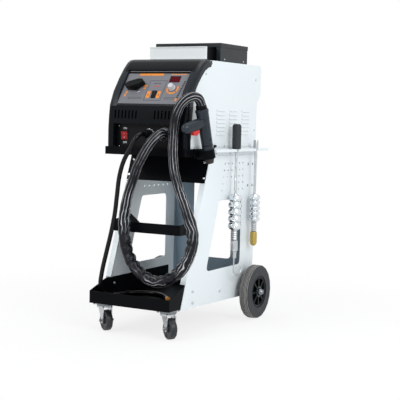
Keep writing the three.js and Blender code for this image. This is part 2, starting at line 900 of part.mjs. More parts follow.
// Welder case
const bezelFrontShares = [
  [0, 0.274], [0.02, 0.411], [0.047, 0.52], [0.169, 0.664], [0.351, 0.801], [0.527, 0.913],
  [0.642, 0.971],
];
const bezelBarShares = [
  [0.743, 1.002], [0.851, 1.011], [0.953, 0.998], [1, 0.968], [0.959, 0.933], [0.831, 0.921],
];
const bezelRearShares = [
  [0.703, 0.888], [0.574, 0.827], [0.439, 0.751], [0.338, 0.679], [0.264, 0.581], [0.216, 0.375],
  [0.176, 0.166],
];

function bezelPoint([deep, high]) {
  return [bezelFrontY + deep * bezelDepth, caseZ + high * caseHeight];
}
const bezelFrontLine = bezelFrontShares.map(bezelPoint);
const bezelBarLine = bezelBarShares.map(bezelPoint);
const bezelRearLine = bezelRearShares.map(bezelPoint);
const bezelFootRearY = bezelRearLine.at(-1)[0];

const panelPlace = new THREE.Matrix4().makeBasis(
  new THREE.Vector3(1, 0, 0),
  new THREE.Vector3(0, Math.sin(degrees(panelLean)), Math.cos(degrees(panelLean))),
  new THREE.Vector3(0, -Math.cos(degrees(panelLean)), Math.sin(degrees(panelLean))),
).setPosition(0, bezelFrontY + panelSetback, caseZ + panelCentreHeight * caseRatio);
const bayY = bezelFrontY + baySetback;
const bayZ = caseZ + bayBottom;
const bayPlace = alongY.clone().setPosition(0, bayY, 0);

// A block whose far end is wider than its near end by the draft on every side
function draftedBlock(width, height, draft, depth) {
  const geometry = new THREE.BoxGeometry(width, height, depth).translate(0, 0, depth / 2);
  const position = geometry.attributes.position;
  for (let i = 0; i < position.count; i += 1) {
    if (position.getZ(i) > depth / 2) {
      position.setX(i, position.getX(i) + Math.sign(position.getX(i)) * draft);
      position.setY(i, position.getY(i) + Math.sign(position.getY(i)) * draft);
    }
  }
  return geometry;
}

function roundedSide(points, half, radius) {
  const shape = new THREE.Shape(points.map(([a, b]) => new THREE.Vector2(a, b)));
  const settings = {
    depth: 2 * (half - radius), bevelThickness: radius, bevelSize: radius, bevelOffset: -radius,
    bevelSegments: 3,
  };
  return new THREE.ExtrudeGeometry(shape, settings)
    .applyMatrix4(alongX).translate(radius - half, 0, 0);
}

function ventSlots(y) {
  const slots = [];
  const z0 = caseZ + ventBottom * caseRatio;
  for (const centre of [ventLeftCentre * widthRatio, ventRightCentre * widthRatio]) {
    for (let i = 0; i < ventCount; i += 1) {
      const x = centre + (i - (ventCount - 1) / 2) * ventPitch;
      slots.push(box(
        x - ventWidth / 2, x + ventWidth / 2, y - overrun, y + bezelWall * 4, z0, z0 + ventHeight));
    }
  }
  return slots;
}

function frontBezel() {
  const back = bezelDepth / 4;
  const below = caseZ - back;
  const silhouette = [
    [bezelFrontY, caseZ], ...bezelFrontLine, ...bezelBarLine, ...bezelRearLine,
    [bezelFootRearY, caseZ],
  ];
  const grown = [
    [bezelFrontY, below], ...bezelFrontLine, ...bezelBarLine.slice(0, 4),
    ...bezelRearLine.map(([y, z]) => [y + back, z]), [bezelFootRearY + back, below],
  ];
  const skin = common(
    roundedSide(grown, bezelHalf, bezelRound), prismX(silhouette, -bezelHalf, bezelHalf));
  const innerLine = offsetLine(
    [[bezelFrontY, below], ...bezelFrontLine.slice(0, 5)], -bezelWall);
  const lastInner = innerLine.at(-1);
  const innerRear = lastInner[0] + bezelDepth;
  const hollow = cut(
    prismX([...innerLine, [innerRear, lastInner[1]], [innerRear, below]],
      bezelWall - bezelHalf, bezelHalf - bezelWall),
    placed(box(
      -controlWidth / 2 - bezelWall, controlWidth / 2 + bezelWall,
      -controlHeight / 2 - bezelWall, controlHeight / 2 + bezelWall,
      -controlThickness - bezelWall, back), panelPlace),
    box(-bayWidth / 2 - bezelWall, bayWidth / 2 + bezelWall, bezelFrontY,
      bayY + bayThickness + bezelWall, bayZ - bezelWall, bayZ + bayHeight + bezelWall));
  return cut(
    skin, hollow, ...ventSlots(bezelFrontY),
    placed(box(
      -controlWidth / 2, controlWidth / 2, -controlHeight / 2, controlHeight / 2, -back, seat),
    panelPlace),
    placed(draftedBlock(controlWidth, controlHeight, recessDraft, back), panelPlace),
    box(-bayWidth / 2, bayWidth / 2, bezelFrontY - overrun, bayY + back, bayZ, bayZ + bayHeight));
}

// A louvre pressed out of the cover's wall, open at its lower edge
function louvreHood(y, z) {
  const [bottom, top] = [z - louvreHeight / 2, z + louvreHeight + louvreRise];
  const section = [
    [caseHalf - coverWall, bottom], [caseHalf + louvreRise, bottom], [caseHalf, top],
    [caseHalf - coverWall, top],
  ];
  return prismY(section, y, y + louvreLength);
}

function louvreThroat(y, z) {
  const [bottom, top] = [z - louvreHeight / 2, z + louvreHeight + louvreRise - louvreWall];
  const lip = caseHalf + louvreRise - louvreWall;
  const section = [
    [caseHalf - coverWall - overrun, bottom], [caseHalf, bottom], [caseHalf, bottom - overrun],
    [lip, bottom - overrun], [lip, bottom], [caseHalf - louvreWall, top],
    [caseHalf - coverWall - overrun, top],
  ];
  return prismY(section, y + louvreWall, y + louvreLength - louvreWall);
}

function caseCover() {
  const bottom = caseZ + coverFootLift;
  const front = offsetLine([[bezelFootRearY, caseZ], ...[...bezelRearLine].reverse(),
    ...bezelBarLine.slice(3).reverse()], -seat);
  const rear = fromFront(coverRear);
  const footRear = fromFront(coverFootRear);
  const firstY = front[0][0];
  const topFrontY = front.at(-1)[0];
  const outline = [
    [firstY, bottom], ...front.slice(1), [topFrontY, caseTopZ], [rear, caseTopZ],
    [rear, caseTopZ - coverTaperTop], [footRear, caseTopZ - coverTaperBottom], [footRear, bottom],
  ];
  const inner = caseHalf - coverWall;
  const [hoods, throats] = [[], []];
  for (let row = 0; row < louvreRows; row += 1) {
    for (let column = 0; column < louvreColumns; column += 1) {
      const y = fromFront(louvreFront + column * louvreColumnPitch);
      const z = caseTopZ - (louvreTopDrop + row * louvreRowPitch) * caseRatio;
      hoods.push(louvreHood(y, z));
      throats.push(louvreThroat(y, z));
    }
  }
  const cover = cut(
    join(prismX(outline, -caseHalf, caseHalf), ...hoods, ...hoods.map(mirrored)),
    box(-inner, inner, bezelFrontY, rear + overrun, caseZ - overrun, caseTopZ - coverWall));
  return cut(cover, ...throats, ...throats.map(mirrored));
}

const rearPanelY = fromFront(coverFootRear) - coverWall * 2;
const fanZ = caseZ + fanCentreHeight * caseRatio;
const fanBore = fanSize / 2 - fanWall;
const baseHalf = caseHalf - coverWall - seat;

function fanGuard() {
  const step = (fanBore - fanHubDiameter / 2) / fanGuardRings;
  const slots = [];
  for (let i = 0; i < fanGuardRings; i += 1) {
    const outer = fanBore - i * step;
    const inner = outer - step + fanGuardWire;
    slots.push(turned([
      [inner, -overrun], [outer, -overrun], [outer, overrun], [inner, overrun], [inner, -overrun],
    ], medium));
  }
  const reach = fanBore + fanGuardWire;
  const wire = fanGuardWire / 2;
  return placed(cut(
    join(...slots), box(-reach, reach, -wire, wire, -fanSize, fanSize),
    box(-wire, wire, -reach, reach, -fanSize, fanSize)),
  alongY.clone().setPosition(0, rearPanelY, fanZ));
}

function caseBase() {
  const front = bezelFootRearY + seat;
  const top = caseTopZ - coverWall - seat;
  const bore = inletDiameter / 2 - fanWall;
  return cut(
    join(
      box(-baseHalf, baseHalf, front, rearPanelY, caseZ, caseZ + sheet),
      box(-baseHalf, baseHalf, rearPanelY - sheet, rearPanelY, caseZ, top),
      box(baseHalf - sheet, baseHalf, front, rearPanelY, caseZ, caseZ + baseFold),
      box(-baseHalf, sheet - baseHalf, front, rearPanelY, caseZ, caseZ + baseFold)),
    fanGuard(),
    rodY(bore, rearPanelY - sheet - overrun, rearPanelY + overrun, inletX,
      caseZ + inletHeight, medium));
}

function fanFrame() {
  const front = rearPanelY - sheet - seat - fanDepth;
  const rear = front + fanDepth;
  const half = fanSize / 2;
  const strut = fanWall / 2;
  const hub = fanHubDiameter / 2;
  const bars = rear - fanWall;
  return cut(
    join(
      cut(
        box(-half, half, front, rear, fanZ - half, fanZ + half),
        rodY(fanBore, front - overrun, rear + overrun, 0, fanZ, fine)),
      rodY(hub, bars, rear, 0, fanZ, medium),
      box(-fanBore - strut, fanBore + strut, bars, rear, fanZ - strut, fanZ + strut),
      box(-strut, strut, bars, rear, fanZ - fanBore - strut, fanZ + fanBore + strut)),
    rodY(fanShaft / 2 + seat, bars - overrun, rear + overrun, 0, fanZ, medium));
}

function fanRotor() {
  const front = rearPanelY - sheet - seat - fanDepth + runningGap;
  const length = fanDepth - fanWall - runningGap * 2;
  const hub = fanHubDiameter / 2;
  const tip = fanBore - runningGap * 2;
  const blades = [];
  for (let i = 0; i < fanBladeCount; i += 1) {
    blades.push(box(hub - fanWall / 2, tip - runningGap, -length * 0.42, length * 0.42, -sheet / 2,
      sheet / 2)
      .rotateX(degrees(fanBladeTwist)).translate(0, length / 2, 0)
      .rotateY(2 * Math.PI * i / fanBladeCount));
  }
  const shaft = rodY(fanShaft / 2, length / 2, fanDepth - runningGap - seat, 0, 0, medium);
  return moved(join(rodY(hub, 0, length, 0, 0, medium), shaft, ...blades), 0, front, fanZ);
}

function mainsInlet() {
  const radius = inletDiameter / 2;
  const bore = inletBore / 2;
  return turned([
    [bore, 0], [radius, 0], [radius, fanWall], [radius * 0.8, fanWall],
    [radius * 0.8, inletLength * 0.6], [radius * 0.6, inletLength * 0.9],
    [radius * 0.5, inletLength], [bore, inletLength], [bore, 0],
  ], medium)
    .rotateX(-Math.PI / 2).translate(inletX, rearPanelY + seat, caseZ + inletHeight);
}

function transformer() {
  const z0 = caseZ + sheet + seat;
  const y0 = fromFront(transformerFront);
  const y1 = y0 + transformerDepth;
  const middle = (y0 + y1) / 2;
  const z1 = z0 + transformerHeight;
  const coilZ = (z0 + z1) / 2;
  const half = transformerWidth / 2;
  const coil = filleted(rectangle(
    -coilWidth / 2, coilWidth / 2, middle - coilDepth / 2, middle + coilDepth / 2), coilWidth / 4);
  return join(
    box(-half, half, y0, y1, z0, z1),
    prismZ(coil, coilZ - coilHeight / 2, coilZ + coilHeight / 2));
}

// Pieces on the control panel, drawn in the panel's plane with +Z out of its face
function knobHole(across, up) {
  return rodZ(knobShaftDiameter / 2 + seat, -controlThickness - overrun, overrun, coarse)
    .translate(across, up, 0);
}

function panelHole(width, height, across, up, endGap) {
  const [halfWidth, halfHeight] = [width / 2 + seat, height / 2 + endGap];
  return box(
    across - halfWidth, across + halfWidth, up - halfHeight, up + halfHeight,
    -bayThickness - overrun, overrun);
}

function controlPanel() {
  const [width, height] = [controlWidth / 2 - seat, controlHeight / 2 - seat];
  return cut(
    box(-width, width, -height, height, -controlThickness, 0),
    panelHole(displayWidth, displayHeight, displayX, displayUp, seat),
    panelHole(modeWidth, modeHeight, modeX, modeUp, runningGap),
    knobHole(selectorX, selectorUp),
    knobHole(powerX, powerUp));
}

function displayWindow() {
  const [width, height] = [displayWidth / 2, displayHeight / 2];
  return box(-width, width, -height, height, -controlThickness, sheet / 2)
    .translate(displayX, displayUp, 0);
}

function knobShaft() {
  return rodZ(knobShaftDiameter / 2, -controlThickness - boardGap / 2, knobSkirtHeight, coarse);
}

function selectorKnob() {
  const [length, width] = [selectorLength / 2, selectorWidth / 2];
  const bar = filleted([
    [-length, -width * 0.45], [-length * 0.55, -width], [length * 0.55, -width],
    [length, -width * 0.45], [length, width * 0.45], [length * 0.55, width],
    [-length * 0.55, width], [-length, width * 0.45],
  ], width * 0.4, null, 2);
  const knob = join(
    prismZ(bar, runningGap + knobSkirtHeight / 2, runningGap + selectorHeight),
    rodZ(selectorSkirt / 2, runningGap, runningGap + knobSkirtHeight, fine),
    knobShaft());
  const turn = new THREE.Matrix4().makeRotationZ(degrees(selectorTurn));
  return placed(knob, turn.setPosition(selectorX, selectorUp, 0));
}

function powerKnob() {
  const radius = powerKnobDiameter / 2;
  const top = runningGap + powerKnobHeight;
  const knob = turned([
    [0, runningGap], [radius, runningGap], [radius, runningGap + knobSkirtHeight],
    [radius * 0.86, runningGap + knobSkirtHeight + sheet], [radius * 0.8, top - sheet],
    [radius * 0.7, top], [0, top],
  ], medium);
  return moved(join(knob, knobShaft()), powerX, powerUp, 0);
}

// A rocker tilted to one side, with its pivot on the X axis
function rocker(width, height) {
  const side = [
    [-height / 2, -rockerDip], [height / 2, -rockerDip], [height / 2, rockerRise],
    [0, rockerRise * 0.4], [-height / 2, rockerRise * 0.3],
  ];
  return prismX(side, -width / 2, width / 2);
}

function controlBoard() {
  const back = -controlThickness - boardGap;
  const [width, height] = [controlWidth / 2 - boardInset, boardHeight / 2];
  const posts = [-1, 1].flatMap((side) => [-1, 1].map((end) => rodZ(
    standoffDiameter / 2, back - boardThickness / 2, -controlThickness - seat, coarse)
    .translate(side * (width - standoffDiameter), end * (height - standoffDiameter), 0)));
  return join(box(-width, width, -height, height, back - boardThickness, back), ...posts);
}

// Socket bay, drawn with +Z out of the machine's front
function socketPanel() {
  const half = bayWidth / 2 - seat;
  const z0 = bayZ + seat;
  const left = bossLeft * widthRatio;
  const right = left + bossWidth * widthRatio;
  const boss = filleted([
    [left, z0 + sheet], [right, z0 + sheet], [right, z0 + bossHeight],
    [left + bossNotch * 3, z0 + bossHeight], [left + bossNotch * 2, z0 + bossHeight - bossRise],
    [left, z0 + bossHeight - bossRise],
  ], bossRound, [5]);
  const rim = prismZ(rectangle(
    switchX - switchWidth / 2 - bezelWall, switchX + switchWidth / 2 + bezelWall,
    switchZ - switchTall / 2 - bezelWall, switchZ + switchTall / 2 + bezelWall),
  -bayThickness, sheet);
  return cut(
    join(
      box(-half, half, z0, bayZ + bayHeight - seat, -bayThickness, 0),
      prismZ(boss, -bayThickness, bossRise),
      rim),
    panelHole(switchWidth, switchTall, switchX, switchZ, runningGap));
}
const switchZ = caseZ + switchHeight;
const socketZ = caseZ + socketHeight;

function socket(diameter, across) {
  const radius = diameter / 2;
  const face = bossRise + seat;
  return turned([
    [0, face], [radius, face], [radius, face + socketRise - sheet], [radius - sheet, face + socketRise],
    [socketBore / 2, face + socketRise], [socketBore / 2, face + sheet], [0, face + sheet],
  ], fine).translate(across, socketZ, 0);
}

// A plug with its pin in the socket and a tapered sleeve for the cord
function plug(diameter, cordDiameter, length, across) {
  const radius = diameter / 2;
  const cord = cordDiameter / 2 + sheet;
  const start = bossRise + socketRise + seat * 2;
  const pin = socketBore / 2 - seat;
  return turned([
    [0, start - socketRise + sheet * 2], [pin, start - socketRise + sheet * 2], [pin, start],
    [radius, start], [radius, start + length * 0.45], [radius * 0.92, start + length * 0.5],
    [cord, start + length], [0, start + length],
  ], fine).translate(across, socketZ, 0);
}

// Tool box and drawer
const toolboxHalf = caseHalf - toolboxInset;
const drawerHalf = toolboxHalf - drawerInset;
const toolboxY = fromFront(toolboxFront);
const drawerZ = toolboxZ + drawerLift;
const boxHalf = toolboxHalf - sheet - seat;
const boxTop = overallHeight - sheet - seat;
const boxFrontY = toolboxY + sheet + seat;
const boxRearY = toolboxY + toolboxDepth - sheet - seat;

function toolboxBody() {
  const open = drawerHalf + runningGap;
  const inner = boxHalf - sheet;
  const ledge = [drawerZ - seat - sheet, drawerZ - seat];
  return join(
    cut(
      box(-boxHalf, boxHalf, boxFrontY, boxRearY, toolboxZ, boxTop),
      box(-inner, inner, boxFrontY + sheet, boxRearY - sheet, toolboxZ + sheet, boxTop + overrun),
      box(-open, open, boxFrontY - overrun, boxFrontY + sheet + overrun, drawerZ - runningGap,
        drawerZ + drawerHeight + runningGap)),
    box(boxHalf - runnerWidth, boxHalf, boxFrontY, boxRearY, ...ledge),
    box(-boxHalf, runnerWidth - boxHalf, boxFrontY, boxRearY, ...ledge));
}

function toolboxTop() {
  const bottom = overallHeight - toolboxRim;
  const y1 = toolboxY + toolboxDepth;
  const inner = toolboxHalf - sheet;
  const plan = filleted(rectangle(-toolboxHalf, toolboxHalf, toolboxY, y1), sheetCorner);
  return cut(
    prismZ(plan, bottom, overallHeight),
    box(-inner, inner, toolboxY + sheet, y1 - sheet, bottom - overrun, overallHeight - sheet));
}

const drawerFaceY = toolboxY - drawerOut;
const drawerTrayHalf = drawerHalf - sheet - seat;

function drawerFront() {
  const half = drawerHalf;
  const top = drawerZ + drawerHeight;
  const depth = toolboxRim * 0.6;
  return cut(
    box(-half, half, drawerFaceY, drawerFaceY + depth, drawerZ, top),
    box(sheet - half, half - sheet, drawerFaceY + sheet, drawerFaceY + depth + overrun,
      drawerZ - overrun, top - sheet));
}

function drawerTray() {
  const y0 = drawerFaceY + sheet + seat;
  const y1 = y0 + drawerLength;
  const top = drawerZ + drawerHeight - sheet - seat;
  const inner = drawerTrayHalf - sheet;
  return cut(
    box(-drawerTrayHalf, drawerTrayHalf, y0, y1, drawerZ, top),
    box(-inner, inner, y0 + sheet, y1 - sheet, drawerZ + sheet, top + overrun));
}

// Slide hammers, drawn on their own axis with heights above the floor
const gripZ = rackTopHeight + seat;

const hookThreadEnd = hookWeightBottom - seat - hookThreadLength;
const hookStep = hookThreadEnd - colletLength / 2;

function hookHammerRod() {
  const rod = rodDiameter / 2;
  const wire = hookWireDiameter / 2;
  const thread = threadDiameter / 2;
  const stop = hookWeightBottom - seat;
  const bend = hookThreadEnd - hookDrop;
  const top = gripZ + gripLength * 0.9;
  const straight = turned([
    [0, hookStep - overrun], [wire, hookStep - overrun], [wire, hookStep], [rod, hookStep],
    [rod, hookThreadEnd], [thread, hookThreadEnd], [thread, stop], [rod, stop], [rod, top], [0, top],
  ], coarse);
  const hook = [[0, 0, hookStep], [0, 0, bend + hookTipRise]];
  for (let i = 0; i <= small; i += 1) {
    const angle = Math.PI * i / small;
    hook.push([0, hookReach * (1 - Math.cos(angle)) / 2, bend - hookSag * Math.sin(angle)]);
  }
  hook.push([0, hookReach, bend + hookTipRise]);
  return moved(join(straight, tube(hook, wire, coarse, medium)), hammerX, hookY, 0);
}

function weight(diameter, bottom, length) {
  const radius = diameter / 2;
  const neck = radius - weightGroove;
  const bore = rodDiameter / 2 + seat;
  const pitch = length / weightRings;
  const profile = [[bore, bottom]];
  for (let i = 0; i < weightRings; i += 1) {
    const z = bottom + i * pitch;
    profile.push([neck, z], [radius, z + pitch * 0.25], [radius, z + pitch * 0.7]);
  }
  profile.push([neck, bottom + length], [bore, bottom + length], [bore, bottom]);
  return turned(profile, medium);
}

function grip(diameter, length) {
  const radius = diameter / 2;
  const bore = rodDiameter / 2 + seat;
  const top = gripZ + length;
  return turned([
    [bore, gripZ], [radius * 0.9, gripZ], [radius, gripZ + sheet], [radius, top - radius * 0.4],
    [radius * 0.7, top], [0, top], [0, gripZ + length * 0.9 + seat],
    [bore, gripZ + length * 0.9 + seat], [bore, gripZ],
  ], medium);
}

function sideScrew(z, radius) {
  return rodY(screwDiameter / 2, -radius - screwReach, -radius + runningGap * 2, 0, z, coarse);
}

function hookCollet() {
  const bottom = hookThreadEnd - colletLength;
  const radius = colletDiameter / 2;
  const bore = rodDiameter / 2 + seat;
  const wireBore = hookWireDiameter / 2 + seat;
  const z = hookThreadEnd - seat;
  const step = hookStep - seat;
  return moved(join(turned([
    [wireBore, bottom], [radius * 0.62, bottom], [radius * 0.75, bottom + colletLength * 0.38],
    [radius, bottom + colletLength * 0.42], [radius, z - sheet], [radius - sheet, z], [bore, z],
    [bore, step], [wireBore, step], [wireBore, bottom],
  ], medium), sideScrew(z - screwDiameter, radius)), hammerX, hookY, 0);
}

function studHammerRod() {
  const rod = rodDiameter / 2;
  const thread = threadDiameter / 2;
  const stop = studWeightBottom - seat;
  const threadEnd = stop - studThreadLength;
  const end = threadEnd - nozzleLength / 2;
  return turned([
    [0, end], [rod, end], [rod, threadEnd], [thread, threadEnd], [thread, stop], [rod, stop],
    [rod, gripZ + stubLength * 0.9], [0, gripZ + stubLength * 0.9],
  ], coarse).translate(hammerX, studY, 0);
}

function studNozzle() {
  const top = studWeightBottom - seat - studThreadLength - seat;
  const bottom = top - nozzleLength;
  const radius = nozzleDiameter / 2;
  const bore = rodDiameter / 2 + seat;
  const floor = top - nozzleLength / 2 - seat;
  return moved(join(turned([
    [0, bottom], [radius * 0.5, bottom + sheet / 2], [radius * 0.85, bottom + nozzleLength * 0.12],
    [radius, bottom + nozzleLength * 0.26], [radius, top - sheet], [radius - sheet, top],
    [bore, top], [bore, floor], [0, floor],
  ], medium), sideScrew(top - screwDiameter, radius)), hammerX, studY, 0);
}

// Gun: drawn with its cord end at the origin and its nozzle down the Z axis
const gunPlace = new THREE.Matrix4()
  .makeRotationZ(degrees(gunTurn))
  .multiply(new THREE.Matrix4().makeRotationX(degrees(gunLean)))
  .setPosition(gunTopAcross * widthRatio, bezelFrontY + gunSetback, gunTopHeight);
const gunBarrelEnd = gunNozzleLength - gunLength;

function gunRadius(z) {
  return THREE.MathUtils.mapLinear(
    z, -gunCollarLength, gunBarrelEnd, gunTopDiameter / 2, gunNoseDiameter / 2);
}

function triggerSlot(gap, depth) {
  const underside = -gripBranchDrop - gripBranchThickness / 2;
  return [
    -triggerWidth / 2 - gap, triggerWidth / 2 + gap,
    -triggerReach - triggerLength - gap, -triggerReach + gap,
    underside - overrun, underside + depth,
  ];
}

function gunBody() {
  const top = gunTopDiameter / 2;
  const barrel = turned([
    [0, gunBarrelEnd], [gunRadius(gunBarrelEnd), gunBarrelEnd],
    [gunRadius(-gunCollarLength), -gunCollarLength], [top + sheet / 2, -gunCollarLength + sheet],
    [top + sheet / 2, -sheet], [top - sheet, 0], [0, 0],
  ], fine);
  const radius = gripBranchThickness / 2;
  const branch = turned([
    [0, 0], [radius, 0], [radius * 1.04, gripBranchLength * 0.4], [radius, gripBranchLength * 0.85],
    [radius * 0.8, gripBranchLength * 0.96], [radius * 0.45, gripBranchLength],
    [0, gripBranchLength],
  ], medium)
    .applyMatrix4(alongY)
    .scale(gripBranchWidth / gripBranchThickness, 1, 1)
    .translate(0, 0, -gripBranchDrop);
  return placed(
    cut(join(barrel, branch), box(...triggerSlot(seat * 2, triggerHeight / 2))), gunPlace);
}

function gunTrigger() {
  const underside = -gripBranchDrop - gripBranchThickness / 2;
  const y0 = -triggerReach - triggerLength;
  const y1 = -triggerReach;
  const side = filleted([
    [y0, underside + sheet], [y0 + sheet, underside - triggerHeight * 0.7],
    [y0 + triggerLength * 0.5, underside - triggerHeight], [y1 - sheet, underside - triggerHeight * 0.5],
    [y1, underside + sheet],
  ], sheet, null, 2);
  return placed(prismX(side, -triggerWidth / 2, triggerWidth / 2), gunPlace);
}

function gunNozzle() {
  const top = gunBarrelEnd - seat;
  const tip = gunNozzleTip / 2;
  const radius = gunNoseDiameter / 2 - sheet / 2;
  const bore = tip - sheet * 3;
  return placed(turned([
    [0, top], [radius, top], [radius, top - gunNozzleLength * 0.45], [tip, -gunLength],
    [bore, -gunLength], [bore, -gunLength + gunNozzleLength / 2], [0, -gunLength + gunNozzleLength / 2],
  ].reverse(), fine), gunPlace);
}

function gunHolder() {
  const middle = strapCentreHeight - gunTopHeight;
  const along = middle / Math.cos(degrees(gunLean));
  const [low, high] = [along - strapHeight / 2, along + strapHeight / 2];
  const inner = gunRadius(low) + seat * 3;
  const outer = inner + strapThickness;
  const axis = new THREE.Vector3(0, 0, along).applyMatrix4(gunPlace);
  const x0 = bodyHalf + seat;
  const reach = axis.x - x0 + hammerReach;
  const strap = placed(cut(
    join(rodZ(outer, low, high, fine), box(-reach, 0, -outer, outer, low, high)),
    rodZ(inner, low - overrun, high + overrun, fine),
    box(-reach - overrun, 0, -inner, inner, low - overrun, high + overrun)), gunPlace);
  const plateHalf = outer + strapThickness * 2;
  return join(
    cut(strap, box(0, x0 + strapThickness / 2, frontY, 0, 0, overallHeight)),
    box(x0, x0 + strapThickness, axis.y - plateHalf, axis.y + plateHalf,
      strapCentreHeight - strapHeight / 2, platformZ + platformLip));
}

// Fork lug crimped on the end of the ground cord, flat on the tray floor
function groundLug() {
  const [last, before] = [groundLine.at(-1), groundLine.at(-2)];
  const turn = Math.atan2(last[1] - before[1], last[0] - before[0]);
  const cord = groundCordDiameter / 2;
  const bottom = trayZ + sheet + seat - last[2];
  const barrel = lugLength * 0.35;
  const flat = filleted([
    [barrel * 0.6, -cord], [barrel * 1.2, -lugWidth / 2], [lugLength, -lugWidth / 2],
    [lugLength, -lugSlot / 2], [barrel * 1.5, -lugSlot / 2], [barrel * 1.5, lugSlot / 2],
    [lugLength, lugSlot / 2], [lugLength, lugWidth / 2], [barrel * 1.2, lugWidth / 2],
    [barrel * 0.6, cord],
  ], lugThickness / 2, null, 2);
  const crimp = rodZ(cord - seat, seat, barrel, medium).applyMatrix4(alongX);
  const place = new THREE.Matrix4().makeRotationZ(turn).setPosition(...last);
  return placed(join(crimp, prismZ(flat, bottom, bottom + lugThickness)), place);
}

// Put it together
const sides = [['left', -1], ['right', 1]];

add('base_tray', baseTray(), blackPaint);
const rightPanel = sidePanel();
add('right_side_panel', rightPanel, whitePaint);
add('left_side_panel', mirrored(rightPanel), whitePaint);
add('rear_plate', rearPlate(), slatePaint);
add('front_deflector', frontDeflector(), blackPaint);
add('mid_shelf', midShelf(), blackPaint);
add('platform_shelf', platformShelf(), blackPaint);
add('tool_rack', toolRack(), whitePaint);
add('gun_holder', gunHolder(), blackPaint);

add('rear_axle', rearAxle(), zinc);
const rim = placed(wheelRim(), alongX);
const wheelTyre = placed(tyre(), alongX);
const nut = placed(axleNut(), alongX);
for (const [side, sign] of sides) {
  const rightWheel = [
    ['rim', moved(rim, wheelMiddle, axleY, axleZ), slatePlastic],
    ['tyre', moved(wheelTyre, wheelMiddle, axleY, axleZ), rubber],
    ['axle_nut', moved(nut, 0, axleY, axleZ), chrome],
  ];
  for (const [name, piece, material] of rightWheel) {
    add(`${side}_${name}`, sign > 0 ? piece : mirrored(piece), material);
  }
  const place = casterPlace(sign, casterSwivelDegrees);
  add(`${side}_caster_plate`, placed(casterPlate(), casterPlace(sign, 0)), zinc);
  add(`${side}_caster_fork`, placed(casterFork(), place), zinc);
  add(`${side}_caster_wheel`, placed(casterWheel(), place), casterRubber);
}

add('front_bezel', frontBezel(), slatePlastic);
add('case_cover', caseCover(), whitePaint);
add('case_base', caseBase(), blackPaint);
add('fan_frame', fanFrame(), blackPlastic);
add('fan_rotor', fanRotor(), blackPlastic);
add('mains_inlet', mainsInlet(), blackPlastic);
add('transformer', transformer(), coreSteel);
add('control_panel', placed(controlPanel(), panelPlace), panelPrint);
add('display_window', placed(displayWindow(), panelPlace), redWindow);
add('selector_knob', placed(selectorKnob(), panelPlace), blackPlastic);
add('power_knob', placed(powerKnob(), panelPlace), whitePlastic);
add('mode_rocker', placed(
  rocker(modeWidth, modeHeight).translate(modeX, modeUp, 0), panelPlace), blackPlastic);
add('control_board', placed(controlBoard(), panelPlace), boardGreen);
add('socket_panel', placed(socketPanel(), bayPlace), blackPlastic);
add('power_rocker', placed(
  rocker(switchWidth, switchTall).translate(switchX, switchZ, 0), bayPlace), redPlastic);
add('ground_socket', placed(socket(groundSocketDiameter, groundX), bayPlace), brass);
add('gun_socket', placed(socket(gunSocketDiameter, gunX), bayPlace), blackPlastic);
add('ground_plug', placed(
  plug(groundPlugDiameter, groundCordDiameter, groundPlugLength, groundX), bayPlace), blackPlastic);
add('gun_plug', placed(
  plug(gunPlugDiameter, gunCordDiameter, gunPlugLength, gunX), bayPlace), blackPlastic);

add('toolbox_body', toolboxBody(), blackPaint);
add('toolbox_top', toolboxTop(), blackPaint);
add('drawer_tray', drawerTray(), blackPaint);
add('drawer_front', drawerFront(), greyPaint);

add('hook_hammer_rod', hookHammerRod(), zinc);
add('hook_hammer_grip', moved(grip(gripDiameter, gripLength), hammerX, hookY, 0), rubber);
add('hook_hammer_weight', moved(
  weight(hookWeightDiameter, hookWeightBottom, hookWeightLength), hammerX, hookY, 0), chrome);
add('hook_hammer_collet', hookCollet(), zinc);
add('stud_hammer_rod', studHammerRod(), zinc);
add('stud_hammer_cap', moved(grip(rodDiameter * 2, stubLength), hammerX, studY, 0), zinc);
add('stud_hammer_weight', moved(
  weight(studWeightDiameter, studWeightBottom, studWeightLength), hammerX, studY, 0), chrome);
add('stud_hammer_nozzle', studNozzle(), brass);

add('gun_body', gunBody(), slatePlastic);
add('gun_trigger', gunTrigger(), redPlastic);
add('gun_nozzle', gunNozzle(), copper);
add('gun_cable', tube(gunLine, gunCordDiameter / 2, gunCordSides, gunCordSteps), sleeve);
add('ground_cable', tube(
  groundLine, groundCordDiameter / 2, groundCordSides, groundCordSteps), rubber);
add('ground_lug', groundLug(), copper);

export default group;
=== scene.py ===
import json
import math

import bmesh
import bpy
from mathutils import Matrix, Vector, noise


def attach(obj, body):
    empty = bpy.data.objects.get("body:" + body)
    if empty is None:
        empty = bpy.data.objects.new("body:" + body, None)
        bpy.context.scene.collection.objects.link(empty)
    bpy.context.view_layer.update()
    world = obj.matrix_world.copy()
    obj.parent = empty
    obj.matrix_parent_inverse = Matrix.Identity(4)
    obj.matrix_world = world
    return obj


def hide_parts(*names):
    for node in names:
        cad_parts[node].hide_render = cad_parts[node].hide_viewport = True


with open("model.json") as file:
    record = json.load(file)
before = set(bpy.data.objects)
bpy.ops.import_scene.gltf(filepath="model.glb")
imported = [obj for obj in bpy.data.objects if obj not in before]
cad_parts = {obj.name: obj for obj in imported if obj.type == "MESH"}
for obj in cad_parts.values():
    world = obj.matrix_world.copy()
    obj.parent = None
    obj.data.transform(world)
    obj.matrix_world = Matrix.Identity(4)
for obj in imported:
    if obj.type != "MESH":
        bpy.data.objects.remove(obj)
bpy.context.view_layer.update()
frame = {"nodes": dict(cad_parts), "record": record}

# Lengths below are in millimetres unless a line says metres
MM = 0.001

# Camera: its place in metres, its angles in degrees, its lens and sensor in millimetres
CAMERA_PLACE = (1.61121, -2.74341, 0.63118)
CAMERA_AZIMUTH = 29.283
CAMERA_DOWN = 4.596
CAMERA_ROLL = 1.289
LENS = 94.168
SENSOR = 36.0

